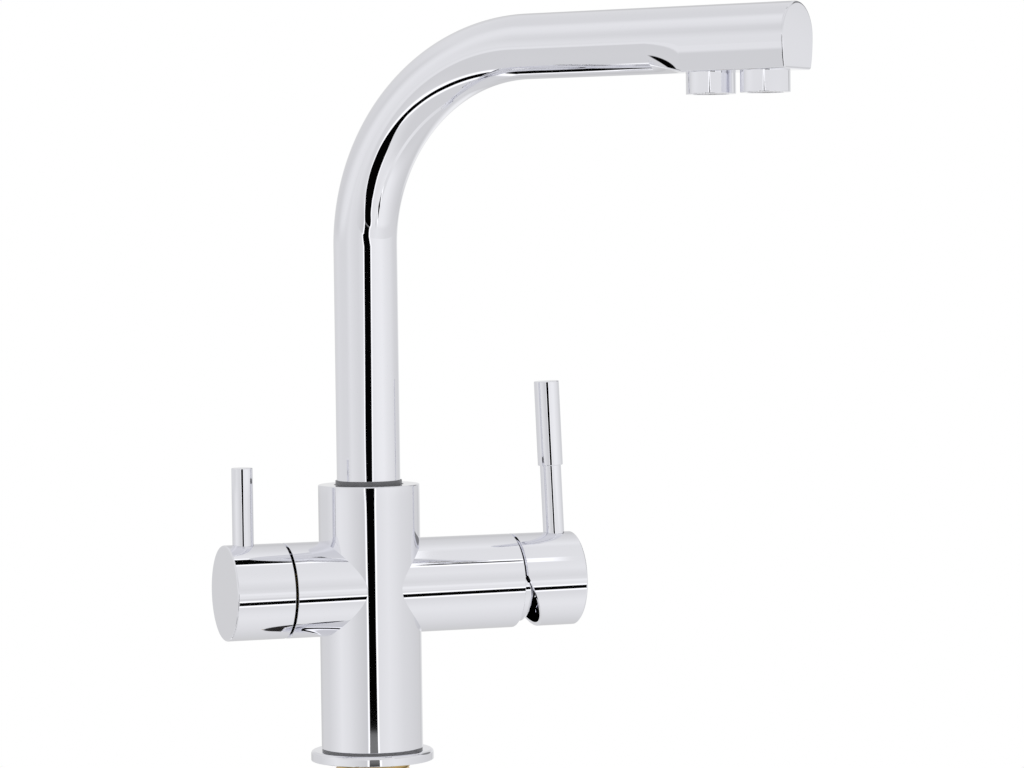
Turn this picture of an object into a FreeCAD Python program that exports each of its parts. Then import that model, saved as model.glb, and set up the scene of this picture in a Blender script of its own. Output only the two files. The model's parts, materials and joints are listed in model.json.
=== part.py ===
"""Three way filtered water tap: a chrome deck-mounted kitchen tap with a swivel spout.

Millimetres. The origin is the centre of the base flange's underside, on the worktop. +Z is up, the
handle arms lie along X with the mixer at +X and the filter handle at -X, and -Y is the front.
The spout is drawn pointing along +X and turned about the column by spout_turn.
Handle parts are drawn on their own arm: local Z runs out of the column along the arm, local X is up.
"""
import FreeCAD, Part
import math
import os
import Sketcher

SIZES = {
    # column and base flange
    "column_radius": 22.5,
    "column_top": 122.5,
    "column_edge": 0.5,
    "foot_inset": 0.8,
    "foot_height": 0.9,
    "flange_radius": 27.25,
    "flange_height": 4.45,
    "flange_edge": 1.4,
    "gasket_inner": 19.5,
    "gasket_outer": 24.5,
    "gasket_height": 1.5,
    # fixing under the worktop
    "shank_radius": 16.5,
    "shank_bore": 13.75,
    "shank_depth": 11.5,
    "shank_below": 60.0,
    "shank_bevel": 1.0,
    "shank_play": 0.15,
    "worktop_gap": 30.0,
    "washer_radius": 25.5,
    "rubber_washer_height": 3.0,
    "steel_washer_height": 1.5,
    "nut_across": 42.0,
    "nut_height": 9.0,
    "nut_bevel": 1.6,
    # hose sockets and waterways in the column
    "hose_socket_radius": 4.5,
    "hose_socket_depth": 12.0,
    "hose_socket_circle": 8.6,
    "waterway_radius": 2.9,
    "riser_radius": 3.2,
    "riser_place": 8.8,
    # arms and handle caps
    "handle_height": 76.8,
    "arm_radius": 21.05,
    "arm_edge": 0.3,
    "cap_wall": 1.65,
    "cap_edge": 0.7,
    "rim_edge": 0.2,
    "seam_gap": 1.2,
    "boss_radius": 9.0,
    "lever_boss_radius": 6.5,
    "lever_sink": 1.05,
    "stud_radius": 3.0,
    "stud_foot": 10.5,
    "lever_bevel": 0.4,
    "spot_play": 0.05,
    # swivel joint in the column
    "spout_socket_radius": 14.9,
    "chamber_radius": 12.4,
    "chamber_floor": 90.0,
    "lower_seat": 96.0,
    "upper_seat": 117.3,
    "upper_seat_radius": 15.4,
    "glide_play": 0.05,
    "glide_lip": 0.6,
    "glide_rise": 1.8,
    "lower_glide_inner": 12.6,
    "lower_glide_height": 1.95,
    "sleeve_bottom": 98.0,
    "sleeve_bore": 10.6,
    "sleeve_spigot": 8.0,
    "tube_foot": 113.0,
    "seal_groove_depth": 2.4,
    "seal_groove_width": 2.6,
    "lower_seal_place": 101.3,
    "upper_seal_place": 109.7,
    "retaining_place": 105.5,
    "retaining_width": 3.6,
    "retaining_depth": 2.3,
    "retaining_play": 0.3,
    "retaining_tip_radius": 1.6,
    "retaining_screw_radius": 2.5,
    # spout
    "spout_turn": 51.5,
    "tube_radius": 14.1,
    "tube_wall": 1.6,
    "spout_height": 312.9,
    "bend_radius": 85.0,
    "spout_reach": 214.7,
    "head_length": 68.7,
    "head_round_length": 4.0,
    "head_transition": 16.0,
    "head_side_radius": 48.0,
    "head_corner_radius": 1.2,
    "head_end_edge": 1.0,
    "head_cavity_radius": 12.4,
    "head_floor": 7.5,
    "cavity_end_inset": 28.7,
    # outlets, insets from the spout's end
    "rear_outlet_inset": 40.9,
    "front_outlet_inset": 15.4,
    "outlet_radius": 10.5,
    "outlet_drop": 9.2,
    "outlet_edge": 0.4,
    "outlet_thread_radius": 9.25,
    "outlet_thread_length": 4.1,
    "outlet_bore": 8.4,
    "outlet_lip": 0.7,
    "outlet_way_radius": 7.0,
    "outlet_washer_height": 1.0,
    "insert_recess": 0.8,
    "front_chamber_rise": 4.5,
    # filtered water tube in the spout
    "filtered_radius": 3.2,
    "filtered_wall": 1.0,
    "filtered_foot": 97.0,
    "filtered_end_inset": 19.7,
    "end_seal_radius": 4.7,
    "end_seal_length": 2.0,
    "tail_radius": 3.0,
    "tail_bottom": 86.5,
    "tail_bore": 1.1,
    "tail_collar_radius": 3.9,
    "tail_collar_bottom": 95.2,
    "tail_barb": 6.0,
    "tail_seal_place": 90.7,
    "tail_seal_width": 1.8,
    "tail_seal_depth": 1.0,
    "bush_play": 0.06,
    "bush_thread_radius": 4.5,
    "bush_bottom": 84.0,
    "bush_head_radius": 5.4,
    "bush_head_top": 95.0,
    "crossing_height": 84.6,
    "crossing_radius": 2.2,
    "crossing_well": 81.0,
    # filter side, distances from the column's axis
    "filter_seam": 39.6,
    "filter_cap_end": 67.1,
    "filter_cap_floor": 64.0,
    "filter_boss_start": 54.9,
    "filter_lever_place": 58.3,
    "filter_lever_radius": 4.7,
    "filter_lever_top": 54.8,
    "headwork_seat": 19.0,
    "headwork_radius": 10.5,
    "headwork_start": 20.6,
    "headwork_barrel": 9.3,
    "headwork_thread_start": 29.0,
    "headwork_gasket": 0.8,
    "headwork_gasket_radius": 13.5,
    "headwork_across": 24.0,
    "headwork_hex_end": 46.0,
    "headwork_neck_radius": 8.0,
    "headwork_neck_end": 53.0,
    "window_half": 3.0,
    "seat_seal_inner": 4.5,
    "filter_disc_bore": 7.6,
    "filter_disc_start": 21.0,
    "filter_disc_height": 3.0,
    "filter_disc_play": 0.1,
    "filter_port_inner": 2.2,
    "filter_port_outer": 6.2,
    "spindle_radius": 5.0,
    "spindle_play": 0.05,
    "spindle_flange_end": 29.6,
    "spindle_head_gap": 0.2,
    "spindle_tongue": 6.8,
    "spindle_shoulder": 54.6,
    "spindle_square": 7.0,
    "spindle_end": 62.0,
    "spindle_seal_place": 34.0,
    "circlip_place": 53.2,
    "circlip_height": 1.0,
    "circlip_groove": 4.3,
    "circlip_radius": 6.6,
    "square_play": 0.05,
    "grub_radius": 2.0,
    # mixer side, distances from the column's axis
    "mixer_seam": 66.1,
    "mixer_cap_end": 95.8,
    "mixer_cap_floor": 92.3,
    "mixer_boss_start": 76.0,
    "rim_cut_start": 3.6,
    "rim_cut_angle": 24.0,
    "mixer_lever_place": 88.43,
    "mixer_lever_lean": 2.25,
    "mixer_rod_radius": 4.75,
    "mixer_rod_top": 51.3,
    "grip_radius": 5.65,
    "grip_top": 89.4,
    "grip_stud_radius": 3.5,
    "grip_stud_length": 20.0,
    "arm_wall": 3.05,
    "cartridge_bore_step": 0.3,
    "cartridge_seat": 40.5,
    "cartridge_nut_bore_start": 57.5,
    "cartridge_play": 0.2,
    "cartridge_wall": 1.5,
    "cartridge_base_height": 3.0,
    "cartridge_roof": 57.7,
    "cartridge_shoulder": 59.5,
    "cartridge_neck_end": 64.5,
    "cartridge_nut_end": 65.5,
    "nut_collar": 5.0,
    "nut_slot": 4.0,
    "inlet_side": 7.45,
    "inlet_rise": 3.6,
    "outlet_sink": 6.5,
    "port_seal_wall": 1.7,
    "port_seal_height": 1.6,
    "mixer_disc_height": 3.0,
    "mixer_disc_gap": 0.4,
    "moving_disc_height": 2.5,
    "moving_disc_gap": 3.1,
    "moving_disc_rest": 2.85,
    "mixing_recess": 1.5,
    "recess_crown": 3.1,
    "recess_half_width": 9.6,
    "carrier_inset": 0.1,
    "carrier_flat": 9.0,
    "carrier_top": 54.8,
    "carrier_pocket_floor": 50.0,
    "ball_play": 0.15,
    "turret_start": 55.0,
    "turret_flange_end": 57.5,
    "turret_play": 0.1,
    "neck_wall": 2.5,
    "turret_end": 70.0,
    "rail_play": 0.2,
    "rail_width": 2.2,
    "rail_half_length": 7.0,
    "pivot_place": 66.5,
    "pivot_radius": 1.5,
    "pivot_play": 0.05,
    "pivot_inset": 0.3,
    "stem_half_width": 4.0,
    "slot_play": 0.1,
    "slot_low": 6.3,
    "slot_high": 6.6,
    "flange_slot_high": 8.8,
    "stem_ball_place": 53.0,
    "stem_ball_radius": 2.8,
    "stem_shin_half": 2.1,
    "stem_shin_end": 60.0,
    "stem_waist_half": 3.4,
    "stem_head_start": 71.0,
    "stem_end": 86.0,
    "shroud_gap": 0.9,
    "shroud_wall": 1.6,
    "shroud_front": 71.2,
    "shroud_edge": 2.0,
    "shroud_opening": 13.2,
    "mixer_grub_place": 82.5,
    "mixer_grub_radius": 2.5,
}

HEX_CORNER = 1.0 / math.sqrt(3.0)       # corner radius of a hexagon over its width across flats
ORIGIN_POINT = (-1, 1)                  # a sketch's own origin, as its constraints name it
POINTS = ("edge", "start", "end", "centre")     # the points of a sketch element, in Sketcher's order
OVERCUT = 1.0                           # how far a cutter stands out of an open face
SPLIT_ANGLE = 53.0                      # where the round section splits for the flat bottom's ends
PORT_HALF_ANGLE = 38.0                  # half opening of a filter disc's port
INSERT_SLOT_COUNT = 8
NUT_SLOT_COUNT = 4


class Length:
    """A number worked out from the size sheet, kept with the sheet formula that gives it."""

    def __init__(self, value, formula):
        self.value = value
        self.formula = formula

    def combined(self, other, value, sign):
        return Length(value, "(%s %s %s)" % (self.formula, sign, other.formula))

    def __add__(self, other):
        other = length(other)
        return self.combined(other, self.value + other.value, "+")

    def __sub__(self, other):
        other = length(other)
        return self.combined(other, self.value - other.value, "-")

    def __mul__(self, other):
        other = length(other)
        return self.combined(other, self.value * other.value, "*")

    def __truediv__(self, other):
        other = length(other)
        return self.combined(other, self.value / other.value, "/")

    def __radd__(self, other):
        return length(other) + self

    def __rsub__(self, other):
        return length(other) - self

    def __rmul__(self, other):
        return length(other) * self

    def __neg__(self):
        return self * -1.0


def length(number):
    if isinstance(number, Length):
        return number
    return Length(float(number), "(%r)" % float(number))


def root(number):
    return Length(math.sqrt(number.value), "sqrt(%s)" % number.formula)


def tangent(angle):
    return Length(math.tan(math.radians(angle.value)), "tan(%s)" % angle.formula)


def sine(degrees):
    """Sine of a fixed angle, exact to the digits that a constraint can hold."""
    return float("%.12f" % math.sin(math.radians(degrees)))


def cosine(degrees):
    return sine(degrees + 90.0)


class Sizes:
    """The driving dimensions, one attribute for each row of the spreadsheet."""

    def __init__(self, document, table):
        sheet = document.addObject("Spreadsheet::Sheet", "Sizes")
        for row, (name, value) in enumerate(table.items(), start=1):
            sheet.set("A%d" % row, name)
            sheet.set("B%d" % row, str(value))
            sheet.setAlias("B%d" % row, name)
            setattr(self, name, Length(float(value), "Sizes." + name))
        self.place_head()
        self.fit_cartridge()

    def place_head(self):
        """The head keeps its length and its outlets, and moves with the spout's end."""
        self.head_start = self.spout_reach - self.head_length
        self.head_round_end = self.head_start + self.head_round_length
        self.head_flat_start = self.head_round_end + self.head_transition
        self.head_cavity_end = self.spout_reach - self.cavity_end_inset
        self.rear_outlet_place = self.spout_reach - self.rear_outlet_inset
        self.front_outlet_place = self.spout_reach - self.front_outlet_inset
        self.filtered_end = self.spout_reach - self.filtered_end_inset

    def fit_cartridge(self):
        """What is held in the mixer arm follows the arm's radius, from the outside in."""
        self.lever_seat = self.arm_radius - self.lever_sink
        self.shroud_radius = self.arm_radius - self.cap_wall - self.shroud_gap
        self.cartridge_nut_radius = self.arm_radius - self.arm_wall
        self.cartridge_bore = self.cartridge_nut_radius - self.cartridge_bore_step
        self.cartridge_radius = self.cartridge_bore - self.cartridge_play
        self.cartridge_inner = self.cartridge_radius - self.cartridge_wall
        self.mixer_disc_radius = self.cartridge_inner - self.mixer_disc_gap
        self.moving_disc_radius = self.cartridge_inner - self.moving_disc_gap
        self.carrier_radius = self.moving_disc_radius - self.carrier_inset
        self.cartridge_neck_radius = self.cartridge_nut_radius - self.nut_collar
        self.turret_neck_radius = self.cartridge_neck_radius - self.neck_wall
        self.pivot_reach = self.turret_neck_radius - self.pivot_inset


def bind(thing, field, number):
    """Tie a property to the sheet."""
    thing.setExpression(field, length(number).formula)


# ---- sketches ------------------------------------------------------------------------------------

def rounded(x, y, radius):
    """A corner of an outline whose two sides run along the sketch's axes, with a round."""
    return (x, y, radius, "round")


def bevelled(x, y, size):
    return (x, y, size, "bevel")


def axis_sign(here, there):
    """Unit step from one corner to another along the axis that joins them."""
    dx = length(there[0]).value - length(here[0]).value
    dy = length(there[1]).value - length(here[1]).value
    if abs(dx) > abs(dy):
        return (math.copysign(1.0, dx), 0.0)
    return (0.0, math.copysign(1.0, dy))


def new_sketch(body, name, plane, at=(0.0, 0.0, 0.0), turn=0.0):
    """A sketch on one of the body's own planes, moved and turned within that plane."""
    sketch = body.newObject("Sketcher::SketchObject", name)
    base = [f for f in body.Origin.OriginFeatures if f.Role == plane + "_Plane"][0]
    sketch.AttachmentSupport = [(base, "")]
    sketch.MapMode = "FlatFace"
    place = [length(step).value for step in at]
    spin = FreeCAD.Rotation(FreeCAD.Vector(0, 0, -1), -length(turn).value)
    sketch.AttachmentOffset = FreeCAD.Placement(FreeCAD.Vector(*place), spin)
    for axis, step in zip("xyz", at):
        if isinstance(step, Length):
            bind(sketch, "AttachmentOffset.Base." + axis, step)
    if isinstance(turn, Length):
        bind(sketch, "AttachmentOffset.Rotation.Angle", -turn)
    return sketch


def fix_point(sketch, element, point, x, y):
    """Hold a point at x, y of the sketch."""
    for kind, number in (("DistanceX", x), ("DistanceY", y)):
        fix_step(sketch, kind, element, point, number)


def fix_step(sketch, kind, element, point, number):
    """Hold one of a point's two distances from the sketch's origin."""
    number = length(number)
    index = sketch.addConstraint(
        Sketcher.Constraint(kind, *ORIGIN_POINT, element, POINTS.index(point), number.value))
    sketch.setExpression("Constraints[%d]" % index, number.formula)


def fix_radius(sketch, element, radius):
    index = sketch.addConstraint(Sketcher.Constraint("Radius", element, length(radius).value))
    sketch.setExpression("Constraints[%d]" % index, length(radius).formula)


def draw_line(sketch, start, end):
    ends = [FreeCAD.Vector(length(x).value, length(y).value, 0) for x, y in (start, end)]
    element = sketch.addGeometry(Part.LineSegment(*ends), False)
    fix_point(sketch, element, "start", *start)
    fix_point(sketch, element, "end", *end)


def draw_arc(sketch, start, end, centre):
    """A counter-clockwise arc from start to end."""
    points = [(length(x).value, length(y).value) for x, y in (start, end, centre)]
    (x1, y1), (x2, y2), (cx, cy) = points
    radius = math.hypot(x1 - cx, y1 - cy)
    circle = Part.Circle(FreeCAD.Vector(cx, cy, 0), FreeCAD.Vector(0, 0, 1), radius)
    angles = (math.atan2(y1 - cy, x1 - cx), math.atan2(y2 - cy, x2 - cx))
    element = sketch.addGeometry(Part.ArcOfCircle(circle, *angles), False)
    fix_point(sketch, element, "centre", *centre)
    fix_point(sketch, element, "start", *start)
    if abs(y2 - cy) < abs(x2 - cx):
        fix_step(sketch, "DistanceY", element, "end", end[1])
    else:
        fix_step(sketch, "DistanceX", element, "end", end[0])


def draw_circle(sketch, x, y, radius):
    centre = FreeCAD.Vector(length(x).value, length(y).value, 0)
    circle = Part.Circle(centre, FreeCAD.Vector(0, 0, 1), length(radius).value)
    element = sketch.addGeometry(circle, False)
    fix_point(sketch, element, "centre", x, y)
    fix_radius(sketch, element, radius)


def draw_outline(sketch, corners):
    """A closed outline through the corners, with the rounds and bevels that they carry."""
    path = []
    for index, corner in enumerate(corners):
        if len(corner) == 2:
            path.append((corner, None))
            continue
        x, y, size, kind = corner
        back = axis_sign(corner, corners[index - 1])
        ahead = axis_sign(corner, corners[(index + 1) % len(corners)])
        first = (x + size * back[0], y + size * back[1])
        last = (x + size * ahead[0], y + size * ahead[1])
        centre = (x + size * (back[0] + ahead[0]), y + size * (back[1] + ahead[1]))
        path.append((first, None))
        path.append((last, (centre, back, ahead) if kind == "round" else None))
    for index, (point, bend) in enumerate(path):
        before = path[index - 1][0]
        if bend is None:
            draw_line(sketch, before, point)
            continue
        centre, back, ahead = bend
        if back[0] * ahead[1] - back[1] * ahead[0] < 0:
            draw_arc(sketch, before, point, centre)
        else:
            draw_arc(sketch, point, before, centre)


# ---- features ------------------------------------------------------------------------------------

def new_body(document, label):
    body = document.addObject("PartDesign::Body", label)
    body.Label = label
    return body


def turned(body, name, corners, plane="XZ", at=(0.0, 0.0, 0.0), turn=0.0, cut=False):
    """Turn an outline of (radius, height) corners about the sketch's upright axis."""
    sketch = new_sketch(body, name + "Outline", plane, at, turn)
    draw_outline(sketch, corners)
    kind = "PartDesign::Groove" if cut else "PartDesign::Revolution"
    feature = body.newObject(kind, name)
    feature.Profile = sketch
    feature.ReferenceAxis = (sketch, ["V_Axis"])
    feature.Angle = 360.0
    return feature


def bored(body, name, corners, **place):
    return turned(body, name, corners, cut=True, **place)


def ring(body, name, inner, outer, low, high, **place):
    corners = [(inner, low), (outer, low), (outer, high), (inner, high)]
    return turned(body, name, corners, **place)


def padded(body, sketch, name, height, both_ways=False):
    pad = body.newObject("PartDesign::Pad", name)
    pad.Profile = sketch
    bind(pad, "Length", height)
    pad.Midplane = both_ways
    return pad


def pocketed(body, sketch, name, depth, both_ways=False):
    """Cut the sketch into the solid on the side its normal points to, or both ways."""
    pocket = body.newObject("PartDesign::Pocket", name)
    pocket.Profile = sketch
    bind(pocket, "Length", depth)
    pocket.Midplane = both_ways
    pocket.Reversed = not both_ways
    return pocket


DIRECTIONS = {
    "+X": FreeCAD.Rotation(FreeCAD.Vector(0, 1, 0), 90),
    "-X": FreeCAD.Rotation(FreeCAD.Vector(0, 1, 0), -90),
    "+Y": FreeCAD.Rotation(FreeCAD.Vector(1, 0, 0), -90),
    "-Y": FreeCAD.Rotation(FreeCAD.Vector(1, 0, 0), 90),
    "+Z": FreeCAD.Rotation(),
}


def place(thing, at, rotation):
    """Put a feature or body at a point given in sheet sizes."""
    spot = FreeCAD.Vector(*[length(step).value for step in at])
    thing.Placement = FreeCAD.Placement(spot, rotation)
    for axis, step in zip("xyz", at):
        if isinstance(step, Length):
            bind(thing, "Placement.Base." + axis, step)


def rod(body, name, radius, start, direction, reach, cut=False):
    """A cylinder from start along one of the body's axes."""
    kind = "PartDesign::SubtractiveCylinder" if cut else "PartDesign::AdditiveCylinder"
    cylinder = body.newObject(kind, name)
    bind(cylinder, "Radius", radius)
    bind(cylinder, "Height", reach)
    place(cylinder, start, DIRECTIONS[direction])
    return cylinder


def drilled(body, name, radius, start, direction, depth):
    return rod(body, name, radius, start, direction, depth, cut=True)


def block(body, name, low, high, cut=False):
    """A box between two corners."""
    kind = "PartDesign::SubtractiveBox" if cut else "PartDesign::AdditiveBox"
    box = body.newObject(kind, name)
    for field, near, far in zip(("Length", "Width", "Height"), low, high):
        bind(box, field, length(far) - near)
    place(box, low, FreeCAD.Rotation())
    return box


def slotted(body, name, low, high):
    return block(body, name, low, high, cut=True)


def repeated(body, feature, name, count):
    """Copies of a feature round the body's upright axis."""
    pattern = body.newObject("PartDesign::PolarPattern", name)
    pattern.Originals = [feature]
    axis = [f for f in body.Origin.OriginFeatures if f.Role == "Z_Axis"][0]
    pattern.Axis = (axis, [""])
    pattern.Angle = 360.0
    pattern.Occurrences = count
    body.Tip = pattern
    return pattern


def hexagon(sketch, across):
    corner = across * HEX_CORNER
    corners = [(corner * cosine(turn), corner * sine(turn)) for turn in range(0, 360, 60)]
    for index, corner in enumerate(corners):
        draw_line(sketch, corners[index - 1], corner)


# ---- assembly frames -----------------------------------------------------------------------------

def on_spout(body, sizes):
    """Turn a spout part from +X to where the spout points."""
    turn = FreeCAD.Rotation(FreeCAD.Vector(0, 0, -1), sizes.spout_turn.value)
    body.Placement = FreeCAD.Placement(FreeCAD.Vector(), turn)
    bind(body, "Placement.Rotation.Angle", sizes.spout_turn)


ALONG_FILTER_ARM = FreeCAD.Rotation(FreeCAD.Vector(0, 1, 0), -90)
ALONG_MIXER_ARM = FreeCAD.Rotation(FreeCAD.Vector(1, 0, 1), 180)


def on_filter_arm(body, sizes):
    place(body, (0.0, 0.0, sizes.handle_height), ALONG_FILTER_ARM)


def on_mixer_arm(body, sizes):
    place(body, (0.0, 0.0, sizes.handle_height), ALONG_MIXER_ARM)


# ---- base and fixing -----------------------------------------------------------------------------

def base_flange(document, s):
    body = new_body(document, "base_flange")
    bore = s.shank_radius + s.shank_play
    turned(body, "Disc", [
        (bore, 0.0),
        (s.gasket_inner, 0.0),
        (s.gasket_inner, s.gasket_height),
        (s.gasket_outer, s.gasket_height),
        (s.gasket_outer, 0.0),
        bevelled(s.flange_radius, 0.0, s.arm_edge),
        rounded(s.flange_radius, s.flange_height, s.flange_edge),
        (bore, s.flange_height),
    ])


def base_gasket(document, s):
    body = new_body(document, "base_gasket")
    ring(body, "Ring", s.gasket_inner, s.gasket_outer, 0.0, s.gasket_height)


def threaded_shank(document, s):
    body = new_body(document, "threaded_shank")
    top = s.flange_height + s.shank_depth
    turned(body, "Pipe", [
        (s.shank_bore, -s.shank_below),
        bevelled(s.shank_radius, -s.shank_below, s.shank_bevel),
        (s.shank_radius, top),
        (s.shank_bore, top),
    ])


def deck_washers(document, s):
    rubber_top = -s.worktop_gap
    rubber_bottom = rubber_top - s.rubber_washer_height
    steel_bottom = rubber_bottom - s.steel_washer_height
    bore = s.shank_radius + s.shank_play
    body = new_body(document, "deck_rubber_washer")
    ring(body, "Ring", bore, s.washer_radius, rubber_bottom, rubber_top)
    body = new_body(document, "deck_steel_washer")
    ring(body, "Ring", bore, s.washer_radius, steel_bottom, rubber_bottom)
    return steel_bottom


def fixing_nut(document, s, top):
    body = new_body(document, "fixing_nut")
    bottom = top - s.nut_height
    sketch = new_sketch(body, "HexOutline", "XY", (0.0, 0.0, bottom))
    hexagon(sketch, s.nut_across)
    draw_circle(sketch, 0.0, 0.0, s.shank_radius)
    padded(body, sketch, "Hex", s.nut_height)
    corner = s.nut_across * HEX_CORNER
    bored(body, "CornerBevel", [
        (corner - s.nut_bevel, bottom - OVERCUT),
        (corner + OVERCUT, bottom - OVERCUT),
        (corner + OVERCUT, bottom + s.nut_bevel),
        (corner, bottom + s.nut_bevel),
        (corner - s.nut_bevel, bottom),
    ])


# ---- column --------------------------------------------------------------------------------------

def column_body(document, s):
    """The casting: column and both arms, then everything that is machined into it."""
    body = new_body(document, "column_body")
    foot = s.flange_height
    waist = s.column_radius - s.foot_inset
    turned(body, "Column", [
        (0.0, foot),
        (waist, foot),
        (waist, foot + s.foot_height),
        (s.column_radius, foot + s.foot_height),
        bevelled(s.column_radius, s.column_top, s.column_edge),
        (0.0, s.column_top),
    ])
    axis = (0.0, s.handle_height, 0.0)
    for name, seam, turn in (("FilterArm", s.filter_seam, 90.0), ("MixerArm", s.mixer_seam, -90.0)):
        turned(body, name, [
            (0.0, 0.0),
            (s.arm_radius, 0.0),
            bevelled(s.arm_radius, seam, s.arm_edge),
            (0.0, seam),
        ], at=axis, turn=turn)
    machine_swivel_socket(body, s)
    machine_hose_sockets(body, s)
    machine_filter_bore(body, s)
    machine_mixer_bore(body, s)
    drilled(body, "RetainingHole", s.retaining_screw_radius,
            (0.0, s.lower_glide_inner, s.retaining_place), "+Y", s.column_radius)


def machine_swivel_socket(body, s):
    over = s.column_top + OVERCUT
    bored(body, "SpoutSocket", [
        (0.0, s.chamber_floor),
        (s.chamber_radius, s.chamber_floor),
        (s.chamber_radius, s.lower_seat),
        (s.spout_socket_radius, s.lower_seat),
        (s.spout_socket_radius, s.upper_seat),
        (s.upper_seat_radius, s.upper_seat),
        (s.upper_seat_radius, over),
        (0.0, over),
    ])
    bored(body, "BushWell", [
        (0.0, s.crossing_well),
        (s.filtered_radius, s.crossing_well),
        (s.filtered_radius, s.bush_bottom),
        (s.bush_thread_radius, s.bush_bottom),
        (s.bush_thread_radius, s.chamber_floor + OVERCUT),
        (0.0, s.chamber_floor + OVERCUT),
    ])


def hose_socket_places(s):
    """Centres of the hot, cold and filtered hose sockets, with their names."""
    half = s.hose_socket_circle * cosine(60.0)
    side = s.hose_socket_circle * sine(60.0)
    return (("Hot", half, -side), ("Cold", half, side), ("Filtered", -s.hose_socket_circle, 0.0))


def machine_hose_sockets(body, s):
    roof = s.flange_height + s.shank_depth
    bored(body, "ShankRecess", [
        (0.0, s.flange_height - OVERCUT),
        (s.shank_radius, s.flange_height - OVERCUT),
        (s.shank_radius, roof),
        (0.0, roof),
    ])
    for name, x, y in hose_socket_places(s):
        drilled(body, name + "Socket", s.hose_socket_radius,
                (x, y, roof - OVERCUT), "+Z", s.hose_socket_depth + OVERCUT)
        level = s.handle_height if name == "Filtered" else s.handle_height + s.inlet_rise
        drilled(body, name + "Riser", s.waterway_radius, (x, y, roof), "+Z", level - roof)


def machine_filter_bore(body, s):
    """Headwork bore, its inlet from the hose, and the crossing to the spout's centre."""
    drilled(body, "HeadworkBore", s.headwork_radius,
            (-s.headwork_seat, 0.0, s.handle_height), "-X",
            s.filter_seam - s.headwork_seat + OVERCUT)
    drilled(body, "FilteredFeed", s.waterway_radius,
            (-s.hose_socket_circle, 0.0, s.handle_height), "-X",
            s.headwork_seat - s.hose_socket_circle + OVERCUT)
    drilled(body, "FilteredCrossing", s.crossing_radius,
            (0.0, 0.0, s.crossing_height), "-X", s.headwork_seat + OVERCUT)


def machine_mixer_bore(body, s):
    """Cartridge bore, the hot and cold feeds, and the mixed water's way to the chamber."""
    bored(body, "CartridgeBore", [
        (0.0, s.cartridge_seat),
        (s.cartridge_bore, s.cartridge_seat),
        (s.cartridge_bore, s.cartridge_nut_bore_start),
        (s.cartridge_nut_radius, s.cartridge_nut_bore_start),
        (s.cartridge_nut_radius, s.mixer_seam + OVERCUT),
        (0.0, s.mixer_seam + OVERCUT),
    ], at=(0.0, s.handle_height, 0.0), turn=-90.0)
    inlet_level = s.handle_height + s.inlet_rise
    outlet_level = s.handle_height - s.outlet_sink
    for name, x, y in hose_socket_places(s)[:2]:
        drilled(body, name + "Feed", s.waterway_radius, (x, y, inlet_level), "+X",
                s.cartridge_seat - x + OVERCUT)
    drilled(body, "MixedReturn", s.riser_radius, (s.riser_place, 0.0, outlet_level), "+X",
            s.cartridge_seat - s.riser_place + OVERCUT)
    drilled(body, "MixedRiser", s.riser_radius, (s.riser_place, 0.0, outlet_level), "+Z",
            s.chamber_floor - outlet_level + OVERCUT)


# ---- swivel joint --------------------------------------------------------------------------------

def glide_rings(document, s):
    body = new_body(document, "upper_glide_ring")
    inner = s.tube_radius + s.glide_play
    lip = inner + s.glide_lip
    lip_end = s.column_top + s.glide_rise
    turned(body, "Ring", [
        (inner, s.upper_seat),
        (s.upper_seat_radius, s.upper_seat),
        (s.upper_seat_radius, s.column_top),
        (lip, s.column_top),
        (lip, lip_end),
        (inner, lip_end),
    ])
    body = new_body(document, "lower_glide_ring")
    ring(body, "Ring", s.lower_glide_inner, s.spout_socket_radius - s.glide_play * 2.0,
         s.lower_seat, s.lower_seat + s.lower_glide_height)


def swivel_sleeve(document, s):
    body = new_body(document, "swivel_sleeve")
    outer = s.spout_socket_radius - s.glide_play
    spigot = s.tube_radius - s.tube_wall
    turned(body, "Sleeve", [
        (s.sleeve_bore, s.sleeve_bottom),
        bevelled(outer, s.sleeve_bottom, s.arm_edge),
        (outer, s.tube_foot),
        (spigot, s.tube_foot),
        (spigot, s.tube_foot + s.sleeve_spigot),
        (s.sleeve_bore, s.tube_foot + s.sleeve_spigot),
    ])
    grooves = (
        ("LowerSealGroove", s.lower_seal_place, s.seal_groove_width, s.seal_groove_depth),
        ("UpperSealGroove", s.upper_seal_place, s.seal_groove_width, s.seal_groove_depth),
        ("RetainingGroove", s.retaining_place, s.retaining_width, s.retaining_depth),
    )
    for name, middle, width, depth in grooves:
        bored(body, name, [
            (outer - depth, middle - width / 2.0),
            (outer + OVERCUT, middle - width / 2.0),
            (outer + OVERCUT, middle + width / 2.0),
            (outer - depth, middle + width / 2.0),
        ])
    on_spout(body, s)


def spout_seals(document, s):
    """Two lip seals, one in each groove of the sleeve, that wipe the socket's bore."""
    lip = s.spout_socket_radius - s.glide_play
    back = lip - s.seal_groove_depth
    half = s.seal_groove_width / 2.0
    for label, middle in (("lower_spout_seal", s.lower_seal_place),
                          ("upper_spout_seal", s.upper_seal_place)):
        body = new_body(document, label)
        turned(body, "Ring", [
            (back, middle - half),
            (lip - half / 2.0, middle - half),
            (lip, middle - half / 2.0),
            (lip, middle + half / 2.0),
            (lip - half / 2.0, middle + half),
            (back, middle + half),
        ])
        on_spout(body, s)


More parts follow.
